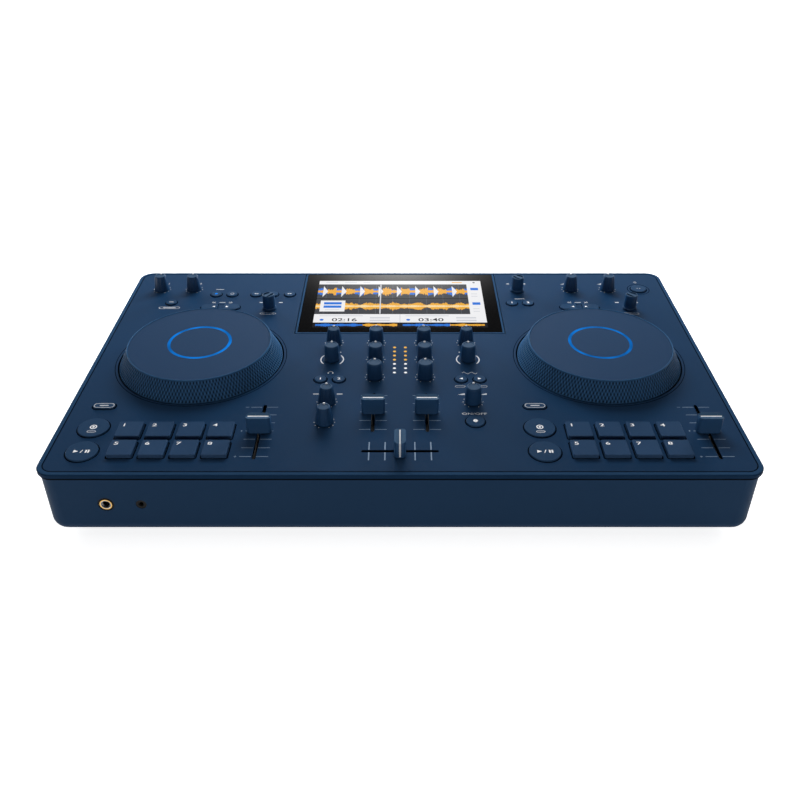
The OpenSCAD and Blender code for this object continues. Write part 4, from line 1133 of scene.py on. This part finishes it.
def title_bar(view, width, height):
    """A pale bar along the top, with plain bars for its entries."""
    view.add(rects(0, height - TITLE_H, width, height), WHITE, 1)
    view.add(rects([8, 30, 52], height - 5.2, [22, 44, 60], height - 3.6), PALE, 2)
    view.add(rects(width - 34, height - 5.4, width - 22, height - 3.4), AMBER, 2)
    view.add(discs([[width - 8, height - 4.5]], 1.4), SLATE, 2)


def side_column(view, width, height):
    """A pale column at the right, with two keys and bars under each."""
    left = width - COLUMN_W
    view.add(rects(left, STRIP_TOP, width, height - TITLE_H), WHITE, 1)
    keys = height - np.array([24, 60])
    view.add(rects(left + 4, keys, width - 4, keys + 6), BLUE, 2)
    lines = height - np.array([34, 40, 70, 76])
    view.add(rects(left + 4, lines, width - 6, lines + 1.4), PALE, 2)


def wave_bands(view, right, top):
    """Two dark bands of grid lines and waves, with beats on the upper one and a still line over both."""
    view.add(rects(0, BAND_LINES, right, [66.0, top]), DARK, 1)
    for line in BAND_LINES:
        grid = np.linspace(10, right - 10, 9)
        view.add(rects(grid, line, grid + 0.5, line + 34.0), SLATE, 2)
    upper = wave_bars(0, right, UPPER_Y, 13.5, WAVE_BARS, 7)
    beat = np.arange(WAVE_BARS) % 27
    view.add(upper[beat >= 14], AMBER, 3)
    view.add(upper[beat < 14], BLUE, 3)
    view.add(wave_bars(0, right, UPPER_Y, 6.0, WAVE_BARS, 11), AMBER, 4)
    hits = np.arange(6, right - 2, 21.4)
    strike = np.linspace(0, 5.0, 9)
    starts = np.add.outer(hits, strike).ravel()
    ends = np.add.outer(hits, strike + 0.6).ravel()
    reach = np.tile(13.0 * (1 - strike / 5.4), len(hits))
    view.add(rects(starts, UPPER_Y - reach, ends, UPPER_Y + reach), WHITE, 5)
    view.add(wave_bars(0, right, LOWER_Y, 12.0, WAVE_BARS, 23), AMBER, 3)
    view.add(wave_bars(0, right, LOWER_Y, 4.0, WAVE_BARS, 31), CREAM, 4)
    still = right * 0.42
    view.add(rects(still - 0.7, 31, still + 0.7, top), PALE, 6)


def card(view):
    """A pale card over the lower band, with two keys and a line under them."""
    view.add(rects(5, 36, 33, 62), WHITE, 7)
    view.add(rects(9, [52.5, 44.5], 29, [58.0, 50.0]), BLUE, 8)
    view.add(rects(11, 39.2, 27, 40.6), PALE, 8)


def time_strip(view, width):
    """A pale strip for both decks, each with its time, plain bars, and a small wave under it."""
    view.add(rects(0, STRIP_LOW, width, STRIP_TOP), WHITE, 1)
    for left, time in ((0, "02:16"), (width / 2, "03:40")):
        view.figures(time, [left + 34, 17.2], 7.0, INK, 2)
        view.add(rects(left + 6, 25.2, left + 54, 26.8), PALE, 2)
        view.add(discs([[left + 9, 17.0]], 2.2), BLUE, 2)
        view.add(rects(left + 62, [14, 20], left + 84, [17, 23]), PALE, 2)
        wave = wave_bars(left + 3, left + width / 2 - 3, 5.4, 4.2, 90, 41 + int(left))
        view.add(wave[:52], BLUE, 2)
        view.add(wave[52:], AMBER, 2)
    view.add(rects(width / 2 - 0.4, STRIP_LOW, width / 2 + 0.4, STRIP_TOP), PALE, 3)


def screen_picture():
    """A generic player view: two wave bands, a card with two keys, and a strip of figures."""
    width, height = SCREEN_HIGH - SCREEN_LOW
    view = Picture()
    view.add(rects(0, 0, width, height), BLACK, 0)
    title_bar(view, width, height)
    side_column(view, width, height)
    wave_bands(view, width - COLUMN_W, height - 10)
    card(view)
    time_strip(view, width)
    return view.make("screen_picture")


screen_picture()


# Stage, lights and camera

FLOOR_HALF = 12.0
FLOOR_TONE = (0.88, 0.88, 0.88, 1)
FLOOR_NEAR = 0.9
FLOOR_FAR = 2.4
NEAR_GLOW = 0.84
FAR_GLOW = 1.0
MIRRORED_GLOW = 0.9


def stage_floor():
    """A plain pale floor. What the camera sees of it has a glow, so that it reads as white paper.

    The glow rises with the distance from the object, where the lamps reach less.
    """
    mesh = bpy.data.meshes.new("floor")
    corners = np.array([[-1, -1, 0], [1, -1, 0], [1, 1, 0], [-1, 1, 0]]) * FLOOR_HALF
    mesh.from_pydata(corners.tolist(), [], [[0, 1, 2, 3]])
    floor = bpy.data.objects.new("floor", mesh)
    bpy.context.scene.collection.objects.link(floor)
    finish = bpy.data.materials.new("floor_paper")
    finish.use_nodes = True
    tree = finish.node_tree
    tree.nodes.clear()
    paper = tree.nodes.new("ShaderNodeBsdfDiffuse")
    paper.inputs["Color"].default_value = FLOOR_TONE
    glow = tree.nodes.new("ShaderNodeEmission")
    seen = tree.nodes.new("ShaderNodeLightPath")
    sight = math(tree, "MAXIMUM", seen.outputs["Is Camera Ray"], seen.outputs["Is Transmission Ray"])
    away = tree.nodes.new("ShaderNodeVectorMath")
    away.operation = "LENGTH"
    link(tree, coordinates(tree), away.inputs[0])
    white = tree.nodes.new("ShaderNodeMapRange")
    link(tree, away.outputs["Value"], white.inputs["Value"])
    settle(white, {"From Min": FLOOR_NEAR, "From Max": FLOOR_FAR, "To Min": NEAR_GLOW, "To Max": FAR_GLOW})
    strength = math(tree, "MULTIPLY", sight, white.outputs["Result"])
    mirrored = math(tree, "MULTIPLY", seen.outputs["Is Glossy Ray"], MIRRORED_GLOW)
    strength = math(tree, "ADD", strength, mirrored)
    link(tree, strength, glow.inputs["Strength"])
    both = tree.nodes.new("ShaderNodeAddShader")
    link(tree, paper.outputs[0], both.inputs[0])
    link(tree, glow.outputs[0], both.inputs[1])
    out = tree.nodes.new("ShaderNodeOutputMaterial")
    link(tree, both.outputs[0], out.inputs["Surface"])
    mesh.materials.append(finish)


BACKDROP_LOW = 0.16
BACKDROP_HIGH = 0.35
SIDE_DIM = 0.6
GLOW_RISE = 0.41
GLOW_WIDTH = 0.068
GLOW_HEIGHT = 0.033
GLOW_STRENGTH = 5.2
BELL_BASE = 0.3679
PAPER_STRENGTH = 1.0
SKY_STRENGTH = 0.03


def studio_world():
    """White paper round the horizon with a dim sky above it, and a soft glow low behind the object.

    The paper's strength falls smoothly between two rises of the view direction, and with the square of its
    part to the side. The glow is a bell of that direction: the exponent adds its squared offsets across and
    up, each in shares of the glow's width and height. The camera itself sees plain white.
    """
    world = bpy.data.worlds.new("studio")
    bpy.context.scene.world = world
    world.use_nodes = True
    tree = world.node_tree
    sky = tree.nodes["Background"]
    sky.inputs["Color"].default_value = (1, 1, 1, 1)
    way = axes(tree, coordinates(tree, "Generated"))
    paper = tree.nodes.new("ShaderNodeMapRange")
    paper.interpolation_type = "SMOOTHSTEP"
    link(tree, way["Z"], paper.inputs["Value"])
    settle(paper, {"From Min": BACKDROP_LOW, "From Max": BACKDROP_HIGH})
    settle(paper, {"To Min": PAPER_STRENGTH, "To Max": SKY_STRENGTH})
    across = math(tree, "POWER", math(tree, "DIVIDE", way["X"], GLOW_WIDTH), 2.0)
    upward = math(tree, "SUBTRACT", way["Z"], GLOW_RISE)
    upward = math(tree, "POWER", math(tree, "DIVIDE", upward, GLOW_HEIGHT), 2.0)
    bell = math(tree, "POWER", BELL_BASE, math(tree, "ADD", across, upward))
    behind = math(tree, "MULTIPLY", math(tree, "GREATER_THAN", way["Y"], 0.0), GLOW_STRENGTH)
    dim = math(tree, "MULTIPLY", math(tree, "POWER", way["X"], 2.0), SIDE_DIM)
    backdrop = math(tree, "MULTIPLY", paper.outputs["Result"], math(tree, "SUBTRACT", 1.0, dim))
    light = math(tree, "ADD", backdrop, math(tree, "MULTIPLY", bell, behind))
    camera = tree.nodes.new("ShaderNodeLightPath").outputs["Is Camera Ray"]
    unseen = math(tree, "MULTIPLY", light, math(tree, "SUBTRACT", 1.0, camera))
    link(tree, math(tree, "ADD", unseen, camera), sky.inputs["Strength"])


def softbox(name, place, aim, size, power):
    """An area lamp at a place, turned towards an aim. It leaves no mirror image in glossy parts."""
    lamp = bpy.data.lights.new(name, "AREA")
    lamp.shape = "RECTANGLE"
    lamp.size, lamp.size_y = size
    lamp.energy = power
    holder = bpy.data.objects.new(name, lamp)
    bpy.context.scene.collection.objects.link(holder)
    holder.location = place
    holder.visible_glossy = False
    way = np.asarray(aim) - np.asarray(place)
    holder.rotation_euler = (np.arctan2(np.hypot(way[0], way[1]), -way[2]), 0, np.arctan2(-way[0], way[1]))
    return holder


SENSOR_W = 36.0
LENS = 38.92
CAMERA_BACK = 0.7586
CAMERA_RISE = 0.4627
CAMERA_TILT = 55.694


def photo_camera():
    """Camera at the photograph's height and angle: straight in front, looking down."""
    lens = bpy.data.cameras.new("camera")
    lens.sensor_width = SENSOR_W
    lens.lens = LENS
    lens.clip_start = 0.01
    holder = bpy.data.objects.new("camera", lens)
    bpy.context.scene.collection.objects.link(holder)
    holder.location = (0, -CAMERA_BACK, PANEL_Z * MM + CAMERA_RISE)
    holder.rotation_euler = (np.radians(CAMERA_TILT), 0, 0)
    bpy.context.scene.camera = holder


LAMP_AIM = (0, 0, 0.06)
TOP_AIM = (0, 0.05, 0.06)
SIDE_BOX = (0.5, 0.3)
SIDE_POWER = 84.0

stage_floor()
studio_world()
softbox("back_softbox", (0.0, 0.75, 0.65), LAMP_AIM, (0.6, 0.36), 10.6)
softbox("top_softbox", (0.0, 0.1, 1.4), TOP_AIM, (0.9, 0.9), 4.6)
softbox("left_softbox", (-1.38, 1.97, 0.27), LAMP_AIM, SIDE_BOX, SIDE_POWER)
softbox("right_softbox", (1.38, 1.97, 0.27), LAMP_AIM, SIDE_BOX, SIDE_POWER)
softbox("front_softbox", (0.0, -1.6, 0.20), LAMP_AIM, (1.6, 0.3), 5.3)
photo_camera()
bpy.context.scene.view_settings.view_transform = "Standard"
